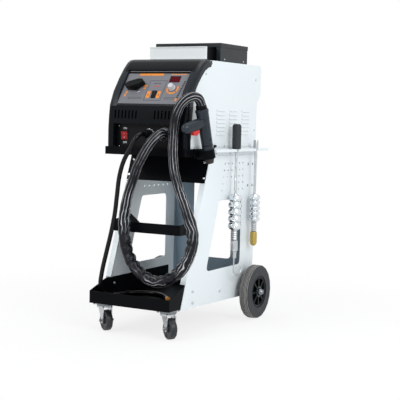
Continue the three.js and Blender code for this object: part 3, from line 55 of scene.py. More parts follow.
# Directions
ACROSS = (1, 0, 0)
RIGHT = (1, 0, 0)
LEFT = (-1, 0, 0)
FRONT = (0, -1, 0)
REAR = (0, 1, 0)
UP = (0, 0, 1)
DOWN = (0, 0, -1)

# Faces of the model that small pieces stand on
PANEL_PLACE = (0, -155.5, 710.8)
PANEL_OUT = (0, -0.8202, 0.5721)
BAY_FACE_Y = -178.0
VENT_FACE_Y = -184.5
SIDE_X = 137.0
COVER_X = 132.5
TRAY_WALL_X = 133.7
TOOLBOX_X = 112.7
COVER_REAR_Y = 244.0
REAR_PLATE_Y = 214.5

# Middles and axes of the model's pieces; the knobs' are in the panel's frame
SELECTOR_PLACE = (-61, 2, 0)
POWER_DIAL_PLACE = (62.6, -4, 0)
SWITCH_PLACE = (-85.5, 569.6)
GUN_PLUG_X = 67
GUN_PLUG_Z = 576
GUN_PLACE = (164, -165, 650)
GUN_TURN = -15
GUN_TILT = 14.4
HAMMER_X = 161
HOOK_HAMMER_Y = 60
STUD_HAMMER_Y = 191
WHEEL_MIDDLE = (185.9, 190.5, 84.5)
CASTER_X = 108.5
CASTER_Y = -233
CASTER_TURN = -33

# The gap under a thin piece, the thickness of print, and how close points are before they join
LIFT = 0.05
INK = 0.12
WELD = 0.001
CAD_WELD = 0.01

# Faces that meet under this many degrees count as one, and an edge shorter than this many
# bevels stays sharp
FLAT_ANGLE = 0.4
SHORTEST_EDGE = 2.5


def unit(vector):
    return Vector(vector).normalized()


def shift(place):
    """A move by a distance in millimetres."""
    return Matrix.Translation(Vector(place) * MM)


def turn_by(degrees, axis):
    return Matrix.Rotation(math.radians(degrees), 4, axis)


def frame_at(place, out, across):
    """A frame at a point in millimetres: its z axis points out and its x axis runs across."""
    z = unit(out)
    x = unit(Vector(across) - z * Vector(across).dot(z))
    return shift(place) @ Matrix((x, z.cross(x), z)).transposed().to_4x4()


PANEL = frame_at(PANEL_PLACE, PANEL_OUT, ACROSS)
GUN = shift(GUN_PLACE) @ turn_by(GUN_TURN, "Z") @ turn_by(GUN_TILT, "X")


def place_camera():
    azimuth, down = math.radians(CAMERA_AZIMUTH), math.radians(CAMERA_DOWN)
    roll = math.radians(CAMERA_ROLL)
    forward = Vector((-math.sin(azimuth) * math.cos(down), math.cos(azimuth) * math.cos(down),
                      -math.sin(down)))
    level = Vector((math.cos(azimuth), math.sin(azimuth), 0))
    up = level.cross(forward)
    right = level * math.cos(roll) + up * math.sin(roll)
    top = up * math.cos(roll) - level * math.sin(roll)
    camera = bpy.data.objects.new("camera", bpy.data.cameras.new("camera"))
    camera.data.lens = LENS
    camera.data.sensor_width = SENSOR
    camera.data.clip_end = 20
    camera.matrix_world = Matrix.Translation(CAMERA_PLACE) @ Matrix(
        (right, top, -forward)).transposed().to_4x4()
    bpy.context.collection.objects.link(camera)
    bpy.context.scene.camera = camera


place_camera()


# Material nodes, and the sockets of a mix node that hold colours
MIX_FIRST, MIX_SECOND, MIX_RESULT = 6, 7, 2


def node(tree, kind, values=None, **settings):
    made = tree.nodes.new(kind)
    for key, value in settings.items():
        setattr(made, key, value)
    for key, value in (values or {}).items():
        made.inputs[key].default_value = value
    return made


def maths(tree, operation, *values):
    """A maths node whose inputs are numbers or other nodes' outputs; gives its output."""
    made = node(tree, "ShaderNodeMath", operation=operation)
    for i, value in enumerate(values):
        if isinstance(value, (int, float)):
            made.inputs[i].default_value = value
        else:
            tree.links.new(value, made.inputs[i])
    return made.outputs[0]


def mixed(tree, amount, first, second):
    """A mix of two colour outputs by an amount."""
    made = node(tree, "ShaderNodeMix", data_type="RGBA")
    tree.links.new(amount, made.inputs["Factor"])
    for number, colour in ((MIX_FIRST, first), (MIX_SECOND, second)):
        socket = made.inputs[number]
        if isinstance(colour, tuple):
            socket.default_value = colour
        else:
            tree.links.new(colour, socket)
    return made.outputs[MIX_RESULT]


def group_tree(name, inputs, outputs):
    tree = bpy.data.node_groups.new(name, "ShaderNodeTree")
    for label, kind, default in inputs:
        socket = tree.interface.new_socket(label, in_out="INPUT", socket_type=kind)
        socket.default_value = default
    for label, kind in outputs:
        tree.interface.new_socket(label, in_out="OUTPUT", socket_type=kind)
    return tree, tree.nodes.new("NodeGroupInput"), tree.nodes.new("NodeGroupOutput")


def make_finish_group():
    """Colour, roughness and normal of a coated or moulded surface, with edges that show wear and
    painted highlights.
    """
    grey = (0.5, 0.5, 0.5, 1)
    tree, source, sink = group_tree(
        "surface_finish",
        [("Colour", "NodeSocketColor", grey), ("Second", "NodeSocketColor", grey),
         ("Edge colour", "NodeSocketColor", grey), ("Edge wear", "NodeSocketFloat", 0.3),
         ("Patch scale", "NodeSocketFloat", 9.0), ("Chip scale", "NodeSocketFloat", 260.0),
         ("Grain scale", "NodeSocketFloat", 900.0), ("Grain depth", "NodeSocketFloat", 0.1),
         ("Roughness", "NodeSocketFloat", 0.5), ("Rough spread", "NodeSocketFloat", 0.1)],
        [("Colour", "NodeSocketColor"), ("Roughness", "NodeSocketFloat"),
         ("Normal", "NodeSocketVector")])
    link = tree.links.new
    place = node(tree, "ShaderNodeTexCoord").outputs["Object"]
    patch = node(tree, "ShaderNodeTexNoise", {"Detail": 4.0, "Roughness": 0.6})
    link(place, patch.inputs["Vector"])
    link(source.outputs["Patch scale"], patch.inputs["Scale"])
    base = mixed(tree, patch.outputs["Fac"], source.outputs["Colour"], source.outputs["Second"])
    edge = node(tree, "ShaderNodeAttribute", attribute_name="edge")
    chips = node(tree, "ShaderNodeTexNoise", {"Detail": 5.0})
    link(place, chips.inputs["Vector"])
    link(source.outputs["Chip scale"], chips.inputs["Scale"])
    ragged = node(tree, "ShaderNodeMapRange", {"From Min": 0.42, "From Max": 0.62})
    link(chips.outputs["Fac"], ragged.inputs["Value"])
    wear_and_sheen_mask = maths(tree, "MULTIPLY", edge.outputs["Fac"], ragged.outputs["Result"])
    amount = maths(tree, "MULTIPLY", wear_and_sheen_mask, source.outputs["Edge wear"])
    link(mixed(tree, amount, base, source.outputs["Edge colour"]), sink.inputs["Colour"])
    streaks = node(tree, "ShaderNodeTexNoise", {"Scale": 55.0, "Detail": 6.0, "Roughness": 0.7})
    link(place, streaks.inputs["Vector"])
    centred = maths(tree, "SUBTRACT", streaks.outputs["Fac"], 0.5)
    spread = maths(tree, "MULTIPLY_ADD", centred, source.outputs["Rough spread"],
                   source.outputs["Roughness"])
    link(spread, sink.inputs["Roughness"])
    grain = node(tree, "ShaderNodeTexNoise", {"Detail": 2.0})
    link(place, grain.inputs["Vector"])
    link(source.outputs["Grain scale"], grain.inputs["Scale"])
    bump = node(tree, "ShaderNodeBump", {"Distance": 0.2 * MM})
    link(source.outputs["Grain depth"], bump.inputs["Strength"])
    link(grain.outputs["Fac"], bump.inputs["Height"])
    link(bump.outputs["Normal"], sink.inputs["Normal"])
    return tree


def make_tread_group():
    """Dust on a tyre's tread: light lines in the grooves, and nothing on its side walls."""
    tree, source, sink = group_tree(
        "tread_dust",
        [("Wheel radius", "NodeSocketFloat", 0.0845), ("Axle y", "NodeSocketFloat", 0.1905),
         ("Axle z", "NodeSocketFloat", 0.0845), ("Groove pitch", "NodeSocketFloat", 0.0042)],
        [("Dust", "NodeSocketFloat")])
    axes = node(tree, "ShaderNodeSeparateXYZ")
    tree.links.new(node(tree, "ShaderNodeTexCoord").outputs["Object"], axes.inputs[0])
    y = maths(tree, "SUBTRACT", axes.outputs["Y"], source.outputs["Axle y"])
    z = maths(tree, "SUBTRACT", axes.outputs["Z"], source.outputs["Axle z"])
    radius = maths(tree, "SQRT", maths(tree, "ADD", maths(tree, "MULTIPLY", y, y),
                                       maths(tree, "MULTIPLY", z, z)))
    share = maths(tree, "DIVIDE", radius, source.outputs["Wheel radius"])
    tread = node(tree, "ShaderNodeMapRange", {"From Min": 0.955, "From Max": 0.975})
    tree.links.new(share, tread.inputs["Value"])
    turns = maths(tree, "DIVIDE", axes.outputs["X"], source.outputs["Groove pitch"])
    wave = maths(tree, "COSINE", maths(tree, "MULTIPLY", turns, 2 * math.pi))
    groove = node(tree, "ShaderNodeMapRange", {"From Min": -0.1, "From Max": 0.9})
    tree.links.new(wave, groove.inputs["Value"])
    tree.links.new(maths(tree, "MULTIPLY", tread.outputs["Result"], groove.outputs["Result"]),
                   sink.inputs["Dust"])
    return tree


finish_group = make_finish_group()
tread_group = make_tread_group()
looks = {}


def surface(name, colour, second=None, edge=None, edge_wear_and_sheen=0.3, patch=9.0, chips=260.0, grain=900.0,
            depth=0.1, rough=0.5, spread=0.1, metal=0.0, coat=0.0, coat_rough=0.2, specular=0.5,
            dust=None):
    """Adds a look: patches of two near colours, fine grain, and edges turned to a third colour for
    wear and painted highlights.
    """
    made = bpy.data.materials.new(name)
    made.use_nodes = True
    tree = made.node_tree
    shader = tree.nodes["Principled BSDF"]
    shader.inputs["Metallic"].default_value = metal
    shader.inputs["Coat Weight"].default_value = coat
    shader.inputs["Coat Roughness"].default_value = coat_rough
    shader.inputs["Specular IOR Level"].default_value = specular
    second = second or tuple(c * 0.9 for c in colour)
    edge = edge or tuple(min(1, c * 1.8 + 0.03) for c in colour)
    group = node(tree, "ShaderNodeGroup", node_tree=finish_group)
    values = {"Colour": (*colour, 1), "Second": (*second, 1), "Edge colour": (*edge, 1),
              "Edge wear": edge_wear_and_sheen, "Patch scale": patch, "Chip scale": chips, "Grain scale": grain,
              "Grain depth": depth, "Roughness": rough, "Rough spread": spread}
    for key, value in values.items():
        group.inputs[key].default_value = value
    result = group.outputs["Colour"]
    if dust:
        tread = node(tree, "ShaderNodeGroup", node_tree=tread_group)
        result = mixed(tree, tread.outputs["Dust"], result, (*dust, 1))
    tree.links.new(result, shader.inputs["Base Color"])
    for label in ("Roughness", "Normal"):
        tree.links.new(group.outputs[label], shader.inputs[label])
    looks[name] = made


surface(
    "white_paint", (0.80, 0.84, 0.86), (0.77, 0.81, 0.83), (0.55, 0.58, 0.6), edge_wear_and_sheen=0.3,
    patch=5, grain=1400, depth=0.05, rough=0.36, spread=0.16, coat=0.15)
surface(
    "black_paint", (0.0016, 0.0019, 0.0026), (0.0032, 0.0036, 0.005), (0.05, 0.05, 0.054),
    edge_wear_and_sheen=0.35, grain=1500, depth=0.02, rough=0.4, spread=0.2, specular=0.05)
surface(
    "toolbox_paint", (0.013, 0.016, 0.019), (0.018, 0.022, 0.026), (0.08, 0.085, 0.09),
    edge_wear_and_sheen=0.35, grain=1500, depth=0.02, rough=0.38, spread=0.2, specular=0.25)
surface(
    "slate_paint", (0.255, 0.325, 0.385), (0.205, 0.270, 0.325), (0.36, 0.41, 0.45),
    grain=1500, depth=0.04, rough=0.5, spread=0.15, specular=0.3)
surface(
    "grey_paint", (0.78, 0.80, 0.80), (0.74, 0.76, 0.76), (0.85, 0.86, 0.86), edge_wear_and_sheen=0.5,
    patch=7, grain=1400, depth=0.05, rough=0.42, spread=0.15)
surface(
    "slate_plastic", (0.017, 0.026, 0.036), (0.012, 0.019, 0.027), (0.06, 0.075, 0.09),
    edge_wear_and_sheen=0.2, grain=2600, depth=0.03, rough=0.3, spread=0.15, specular=0.3)
# The hood's light edge colour is partly wear and partly a painted highlight on its rims
surface(
    "bezel_plastic", (0.0018, 0.0026, 0.004), (0.0028, 0.0038, 0.0056), (0.13, 0.16, 0.19),
    edge_wear_and_sheen=0.5, grain=2600, depth=0.012, rough=0.24, spread=0.06, specular=0.1)
# The hood's arms are the hood's own black plastic; this lighter slate colour is a painted
# highlight along them, with more gloss
surface(
    "arm_painted_highlight", (0.0050, 0.0085, 0.0125), (0.0075, 0.0115, 0.0165), (0.16, 0.19, 0.22),
    edge_wear_and_sheen=0.5, grain=2600, depth=0.012, rough=0.22, spread=0.05, specular=0.27)
surface(
    "black_plastic", (0.003, 0.0032, 0.0038), (0.0055, 0.0058, 0.0065), (0.05, 0.05, 0.052),
    edge_wear_and_sheen=0.25, grain=2400, depth=0.03, rough=0.36, spread=0.18, specular=0.12)
surface(
    "panel_print", (0.185, 0.185, 0.215), (0.165, 0.165, 0.172), (0.26, 0.26, 0.28),
    patch=6, grain=2000, depth=0.04, rough=0.42, spread=0.12, specular=0.25)
surface(
    "red_plastic", (0.62, 0.016, 0.014), (0.55, 0.013, 0.012), (0.8, 0.16, 0.14),
    grain=1800, depth=0.05, rough=0.3, spread=0.15)
surface(
    "switch_red", (0.34, 0.008, 0.008), (0.28, 0.006, 0.006), (0.5, 0.06, 0.05),
    grain=1800, depth=0.03, rough=0.3, spread=0.15, specular=0.3)
surface(
    "red_window", (0.105, 0.001, 0.006), (0.07, 0.0008, 0.004), edge_wear_and_sheen=0.0, patch=40, grain=300,
    depth=0.02, rough=0.2, specular=0.08)
surface(
    "white_plastic", (0.60, 0.60, 0.63), (0.54, 0.54, 0.57), (0.75, 0.75, 0.77), rough=0.3,
    spread=0.15, grain=900, depth=0.04)
surface(
    "rubber", (0.003, 0.0032, 0.004), (0.005, 0.0052, 0.0062), (0.04, 0.04, 0.042), patch=30,
    grain=1200, depth=0.06, rough=0.22, spread=0.16, specular=0.2)
surface(
    "grip_rubber", (0.016, 0.020, 0.023), (0.022, 0.027, 0.031), (0.05, 0.055, 0.06),
    patch=30, grain=1000, depth=0.35, rough=0.6, spread=0.2, specular=0.4)
surface(
    "tyre", (0.020, 0.0225, 0.027), (0.032, 0.035, 0.040), (0.09, 0.09, 0.092), edge_wear_and_sheen=0.4,
    patch=24, grain=700, depth=0.3, rough=0.62, spread=0.25, specular=0.4,
    dust=(0.36, 0.345, 0.32))
surface(
    "caster_rubber", (0.016, 0.017, 0.019), (0.026, 0.027, 0.030), (0.2, 0.2, 0.2),
    edge_wear_and_sheen=0.5, patch=40, grain=900, depth=0.15, rough=0.4, spread=0.3, specular=0.35)
# On the sleeve, the edge colour at full edge weight paints the light stripes of its tube: painted
# highlights on the black cloth, not wear
surface(
    "sleeve", (0.0028, 0.003, 0.0045), (0.008, 0.0085, 0.0125), (0.72, 0.71, 0.74), edge_wear_and_sheen=1.0,
    patch=60, chips=12, grain=1800, depth=0.12, rough=0.3, spread=0.3, specular=0.2)
surface(
    "zinc", (0.60, 0.62, 0.63), (0.46, 0.48, 0.50), (0.78, 0.79, 0.80), patch=60, grain=600,
    depth=0.12, rough=0.3, spread=0.25, metal=1.0)
surface(
    "chrome", (0.74, 0.78, 0.80), (0.66, 0.70, 0.73), (0.86, 0.88, 0.9), patch=40,
    grain=500, depth=0.03, rough=0.14, spread=0.12, metal=1.0)
surface(
    "brass", (0.58, 0.43, 0.13), (0.42, 0.30, 0.08), (0.80, 0.64, 0.32), patch=60, grain=500,
    depth=0.08, rough=0.28, spread=0.2, metal=1.0)
# Copper's own colour, made brighter and matte rather than metal: partly a painted highlight, so
# the lug in the tray's shade still shows light
surface(
    "copper", (1.0, 0.52, 0.18), (0.92, 0.42, 0.12), (1.0, 0.74, 0.42), patch=70,
    grain=500, depth=0.08, rough=0.36, spread=0.25)
# A dark steel look; on the zinc caster plates and their bolts it is painted shade from the tray
# above
surface(
    "dark_steel_and_shade", (0.26, 0.28, 0.30), (0.16, 0.17, 0.19), (0.5, 0.52, 0.54), edge_wear_and_sheen=0.7,
    patch=90, grain=600, depth=0.1, rough=0.25, spread=0.2, metal=1.0)
surface(
    "burnt_tip", (0.030, 0.022, 0.018), (0.012, 0.010, 0.010), (0.20, 0.13, 0.08), edge_wear_and_sheen=0.6,
    patch=120, grain=900, depth=0.4, rough=0.5, spread=0.3, specular=0.4)
surface(
    "core_steel", (0.12, 0.125, 0.13), rough=0.5, metal=0.8, grain=800, depth=0.3)
surface("board_green", (0.02, 0.12, 0.045), rough=0.4, depth=0.05)
surface(
    "orange_print", (0.80, 0.26, 0.025), (0.70, 0.21, 0.02), (0.85, 0.4, 0.12), patch=80,
    grain=2000, depth=0.05, rough=0.4)
surface(
    "dark_print", (0.006, 0.006, 0.008), (0.012, 0.012, 0.015), patch=80, grain=2000,
    depth=0.03, rough=0.4, specular=0.15)
surface(
    "pale_print", (0.62, 0.62, 0.62), (0.55, 0.55, 0.55), patch=80, grain=2000, depth=0.05,
    rough=0.4)
surface(
    "shadow_mesh", (0.003, 0.003, 0.003), (0.005, 0.005, 0.005), grain=2000, depth=0.4,
    rough=0.8, specular=0.1)

slot_of = {entry["node"]: entry["material_slot"] for entry in frame["record"]["subparts"]}
body_of = {name: body for body, names in frame["record"]["behaviour"]["bodies"].items()
           for name in names}


# Mesh code
def mesh_from(bm, name):
    bmesh.ops.recalc_face_normals(bm, faces=bm.faces)
    mesh = bpy.data.meshes.new(name)
    bm.to_mesh(mesh)
    bm.free()
    return mesh


def finish_piece(name, mesh, look, body, replaced=(), sharp=35):
    """Links a mesh as a piece with smooth faces between sharp edges, riding on its body."""
    piece = bpy.data.objects.new(name, mesh)
    bpy.context.collection.objects.link(piece)
    mesh.materials.clear()
    mesh.materials.append(looks[look])
    mesh.shade_smooth()
    mesh.set_sharp_from_angle(angle=math.radians(sharp))
    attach(piece, body)
    if replaced:
        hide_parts(*replaced)
    return piece


def bevel_sharp(bm, width, angle=40, segments=2):
    """Rounds the sharp edges and marks the new faces in the edge attribute."""
    layer = bm.faces.layers.float.get("edge") or bm.faces.layers.float.new("edge")
    limit = math.radians(angle)
    edges = [e for e in bm.edges if len(e.link_faces) == 2 and e.calc_face_angle(0) > limit
             and e.calc_length() > width * SHORTEST_EDGE]
    made = bmesh.ops.bevel(
        bm, geom=edges, offset=width, offset_type="OFFSET", affect="EDGES", segments=segments,
        profile=0.5, material=-1, clamp_overlap=True)
    for face in made["faces"]:
        face[layer] = 1.0


def dressed(name, width=0.4, look=None, angle=40, segments=2, sharp=32, second=None,
            is_second=None, splits=()):
    """A copy of a CAD node with rounded edges, coloured for wear and painted highlight, which
    stands for the node.
    A second look goes to the faces that is_second picks by their middle, once the mesh is
    split by planes, each a point in millimetres and a direction."""
    bm = bmesh.new()
    bm.from_mesh(frame["nodes"][name].data)
    bmesh.ops.remove_doubles(bm, verts=bm.verts, dist=CAD_WELD * MM)
    bmesh.ops.dissolve_limit(
        bm, angle_limit=math.radians(FLAT_ANGLE), verts=bm.verts, edges=bm.edges)
    bevel_sharp(bm, width * MM, angle, segments)
    for place, across in splits:
        bmesh.ops.bisect_plane(bm, geom=bm.verts[:] + bm.edges[:] + bm.faces[:],
                               dist=WELD * MM, plane_co=Vector(place) * MM, plane_no=across)
    piece = finish_piece(f"{name}_skin", mesh_from(bm, name), look or slot_of[name],
                         body_of[name], (name,), sharp)
    flat = piece.modifiers.new("flat_faces", "WEIGHTED_NORMAL")
    flat.keep_sharp = True
    if second:
        piece.data.materials.append(looks[second])
        for face in piece.data.polygons:
            face.material_index = int(is_second(face.center))
    return piece


class Detail:
    """Gathers small solids into one mesh, which becomes one piece on a body."""

    def __init__(self, name, look, slot, body="trolley"):
        self.name, self.look, self.slot, self.body = name, look, slot, body
        self.bm = bmesh.new()
        self.bm.faces.layers.float.new("edge")

    def take(self, part, place, round_edges=0.0):
        if round_edges:
            bevel_sharp(part, round_edges * MM)
        bmesh.ops.transform(part, matrix=place, verts=part.verts)
        mesh = mesh_from(part, "part")
        self.bm.from_mesh(mesh)
        bpy.data.meshes.remove(mesh)

    def plate(self, place, width, height, thick, corner=0.0, at=(0, 0, 0), round_edges=0.0):
        """A flat plate on a frame's plane, with its corners rounded."""
        part = bmesh.new()
        bmesh.ops.create_cube(part, size=MM)
        bmesh.ops.scale(part, vec=(width, height, thick), verts=part.verts)
        bmesh.ops.translate(
            part, vec=Vector((at[0], at[1], at[2] + thick / 2)) * MM, verts=part.verts)
        if corner:
            posts = [e for e in part.edges
                     if abs(e.verts[0].co.z - e.verts[1].co.z) > thick * MM / 2]
            bmesh.ops.bevel(part, geom=posts, offset=corner * MM, offset_type="OFFSET",
                            affect="EDGES", segments=3, profile=0.5, material=-1)
        self.take(part, place, round_edges)

    def outline(self, place, width, height, line, thick, at=(0, 0, 0)):
        """Four bars that frame a rectangle."""
        for side in (-1, 1):
            self.plate(place, width, line, thick,
                       at=(at[0], at[1] + side * (height - line) / 2, at[2]))
            self.plate(place, line, height - 2 * line, thick,
                       at=(at[0] + side * (width - line) / 2, at[1], at[2]))

    def turned(self, place, profile, steps=24, turn=360.0, start=0.0, closed=False,
               round_edges=0.0):
        """A profile of radius and height spun round the frame's z axis."""
        part = bmesh.new()
        points = [part.verts.new((radius * MM, 0, height * MM)) for radius, height in profile]
        lines = [part.edges.new(pair) for pair in zip(points, points[1:])]
        if closed:
            lines.append(part.edges.new((points[-1], points[0])))
        geometry = points + lines
        if turn < 360:
            geometry.append(part.faces.new(points))
        bmesh.ops.spin(part, geom=geometry, cent=(0, 0, 0), axis=UP, dvec=(0, 0, 0),
                       angle=math.radians(turn), steps=steps, use_merge=turn >= 360)
        bmesh.ops.remove_doubles(part, verts=part.verts, dist=WELD * MM)
        self.take(part, place @ turn_by(start, "Z"), round_edges)

    def screw(self, place, radius=3.0):
        """A low round head with a socket in it."""
        self.turned(place, [(0, 0.25 * radius), (0.4 * radius, 0.25 * radius),
                            (0.42 * radius, 0.62 * radius), (0.72 * radius, 0.58 * radius),
                            (0.94 * radius, 0.34 * radius), (radius, 0.08), (0, 0.08)], steps=18)

    def bolt(self, place, radius=4.0):
        """A six-sided head on a washer."""
        self.turned(place, [(0, 0.08), (1.35 * radius, 0.08), (1.35 * radius, 0.9), (0, 0.9)],
                    steps=20)
        self.turned(place, [(0, 0.95), (radius, 0.95), (radius, 0.72 * radius + 0.95),
                            (0.82 * radius, 0.85 * radius + 0.95), (0, 0.85 * radius + 0.95)],
                    steps=6)

    def words(self, place, text, height, at=(0, 0, 0)):
        """Short plain lettering, raised a little from a frame's plane."""
        curve = bpy.data.curves.new(self.name, "FONT")
        curve.body = text
        curve.size = height * MM
        curve.extrude = 0.06 * MM
        curve.offset = 0.18 * MM
        curve.align_x = "CENTER"
        curve.align_y = "CENTER"
        holder = bpy.data.objects.new(self.name, curve)
        mesh = bpy.data.meshes.new_from_object(holder)
        part = bmesh.new()
        part.from_mesh(mesh)
        bmesh.ops.remove_doubles(part, verts=part.verts, dist=WELD * MM)
        bmesh.ops.translate(part, vec=Vector(at) * MM, verts=part.verts)
        self.take(part, place)
        bpy.data.objects.remove(holder)
        bpy.data.curves.remove(curve)
        bpy.data.meshes.remove(mesh)

    def done(self, sharp=35):
        piece = finish_piece(self.name, mesh_from(self.bm, self.name), self.look, self.body,
                             sharp=sharp)
        return piece


# Cords: their routes repeat the model's
GROUND_ROUTE = [
    (7, -219, 576), (7, -236, 576), (3, -254, 565), (-9, -260, 538), (-33, -258, 501),
    (-51, -253, 455), (-61, -249, 399), (-69, -247, 345), (-81, -246, 291), (-98, -246, 226),
    (-110, -247, 175), (-118, -243, 133), (-122, -222, 106), (-124, -190, 94),
    (-124, -150, 91.7), (-115, -115, 91.7), (-95, -90, 91.7), (-66, -75, 91.7), (-33, -70, 91.7),
    (-3, -83, 91.7), (20, -104, 91.7), (34, -118, 91.7),
]
GUN_ROUTE = [
    (67, -221, 576), (67, -236, 576), (58, -253, 560), (33, -253, 526), (7, -245, 490),
    (-15, -237, 447), (-34, -231, 404), (-46, -228, 360), (-51, -225, 309), (-45, -225, 258),
    (-24, -225, 209), (12, -225, 173), (62, -225, 156), (110, -225, 170), (148, -225, 203),
    (171, -225, 246), (179, -225, 289), (171, -225, 328), (153, -225, 373), (129, -225, 429),
    (114, -225, 477), (108, -224, 531), (106, -220, 570), (108, -219, 602), (115, -220, 634),
    (126, -217, 660), (138, -207, 676), (151, -190, 684), (160, -177, 679),
    (163.1, -168.5, 664), (164, -165.1, 650.3),
]
GROUND_DIAMETER = 13
GUN_DIAMETER = 28
CORD_NODES = ("ground_cable", "ground_plug", "ground_lug", "gun_cable", "gun_plug")

# The sleeve's light stripes, which are painted highlights along its folds, the pitch of its
# creases and twists, and its crushed knee
SHEEN_STRIPES = 10
SHEEN_STRIPE_WIDTH = 0.24
CREASE_PITCH = 27
TWIST_PITCH = 13.5
CREASED_SPOT = (136, -225, 415)
CREASED_REACH = 75

# In metres: the sleeve hangs slack below a height, and is round over a short run at its ends
SLACK_HEIGHT = 0.44
SLACK_FADE = 0.12
ROUND_END = 0.02
LEAST_SLACK = 0.25

# The bend that crushes the sleeve, as one over its radius in metres, and the points it's read over
CRUSHING_BEND = 6.5
BEND_SPAN = 6


def smooth_line(route, steps):
    """Centripetal Catmull-Rom points through the route, in metres."""
    points = [Vector(p) * MM for p in route]
    points = [points[0] * 2 - points[1], *points, points[-1] * 2 - points[-2]]
    line = []
    for i in range(1, len(points) - 2):
        p = points[i - 1:i + 3]
        t = [0.0]
        for a, b in zip(p, p[1:]):
            t.append(t[-1] + math.sqrt((b - a).length))
        for k in range(steps):
            s = t[1] + (t[2] - t[1]) * k / steps
            a = [(p[j] * (t[j + 1] - s) + p[j + 1] * (s - t[j])) / (t[j + 1] - t[j])
                 for j in range(3)]
            b = [(a[j] * (t[j + 2] - s) + a[j + 1] * (s - t[j])) / (t[j + 2] - t[j])
                 for j in range(2)]
            line.append((b[0] * (t[2] - s) + b[1] * (s - t[1])) / (t[2] - t[1]))
    line.append(points[-2])
    return line


def length_of(line):
    return sum((b - a).length for a, b in zip(line, line[1:]))


def line_frames(line):
    """At each point a matrix whose z axis runs along the line, turning as little as it can."""
    tangents = [unit(b - a) for a, b in zip(line, line[1:])]
    tangents = [tangents[0]] + [unit(a + b) for a, b in zip(tangents, tangents[1:])] + [
        tangents[-1]]
    side = tangents[0].orthogonal().normalized()
    frames = []
    for point, tangent in zip(line, tangents):
        side = unit(side - tangent * side.dot(tangent))
        axes = Matrix((side, tangent.cross(side), tangent)).transposed().to_4x4()
        frames.append(Matrix.Translation(point) @ axes)
    return frames


def tube_mesh(name, line, sides, shape):
    """A closed tube, drawn ring by ring; shape gives radius and edge mark from the ring's
    number, the distance run and the angle round it."""
    frames = line_frames(line)
    bm = bmesh.new()
    layer = bm.verts.layers.float.new("edge")
    first = bmesh.ops.create_circle(bm, cap_ends=True, radius=MM, segments=sides, matrix=frames[0])
    ring = first["verts"]
    rings = [ring]
    edges = list(bm.edges)
    for before, after in zip(frames, frames[1:]):
        made = bmesh.ops.extrude_edge_only(bm, edges=edges)["geom"]
        ring = [g for g in made if isinstance(g, bmesh.types.BMVert)]
        edges = [g for g in made if isinstance(g, bmesh.types.BMEdge)
                 and all(v in ring for v in g.verts)]
        bmesh.ops.transform(bm, matrix=after @ before.inverted(), verts=ring)
        rings.append(ring)
    bmesh.ops.contextual_create(bm, geom=edges)
    run = 0.0
    for i, (place, ring) in enumerate(zip(frames, rings)):
        run += (line[i] - line[i - 1]).length if i else 0.0
        back = place.inverted()
        for vertex in ring:
            spot = back @ vertex.co
            angle = math.atan2(spot.y, spot.x)
            radius, mark = shape(i, run, angle)
            vertex.co = place @ Vector((math.cos(angle) * radius, math.sin(angle) * radius, 0))
            # The mark goes to the edge layer; on the sleeve it holds the painted highlight stripes
            vertex[layer] = mark
    return mesh_from(bm, name)


def bends_of(line, frames):
    """How sharply a line bends at each point, and the angle round it that the inside faces."""
    bends = []
    for i in range(len(line)):
        a, b, c = line[max(i - BEND_SPAN, 0)], line[i], line[min(i + BEND_SPAN, len(line) - 1)]
        inward = (a + c) / 2 - b
        spot = frames[i].inverted().to_3x3() @ inward
        reach = max((c - a).length / 2, 1e-6)
        bends.append((2 * inward.length / reach ** 2, math.atan2(spot.y, spot.x)))
    return bends


def make_plug_clamp():
    """The rings of the clamp on the gun's plug."""
    clamp = Detail("gun_plug_clamp", "dark_steel_and_shade", "chrome")
    for y, radius in ((-204, 20), (-209, 19), (-214, 18)):
        clamp.turned(frame_at((GUN_PLUG_X, y, GUN_PLUG_Z), FRONT, ACROSS),
                     [(14, -1.3), (radius - 0.6, -1.3), (radius, 0), (radius - 0.6, 1.3),
                      (14, 1.3)], steps=36, closed=True)
    return clamp.done()


def make_ground_lead():
    """A plain rubber lead, with its plug and its lug."""
    line = smooth_line(GROUND_ROUTE, 10)
    half = GROUND_DIAMETER * MM / 2

    def plain(i, run, angle):
        return half * (1 + 0.012 * noise.noise(Vector((run * 40, angle, 0)))), 0.0

    lead = finish_piece("ground_lead", tube_mesh("ground_lead", line, 20, plain), "rubber",
                        "trolley", ("ground_cable",))
    dressed("ground_plug")
    dressed("ground_lug")


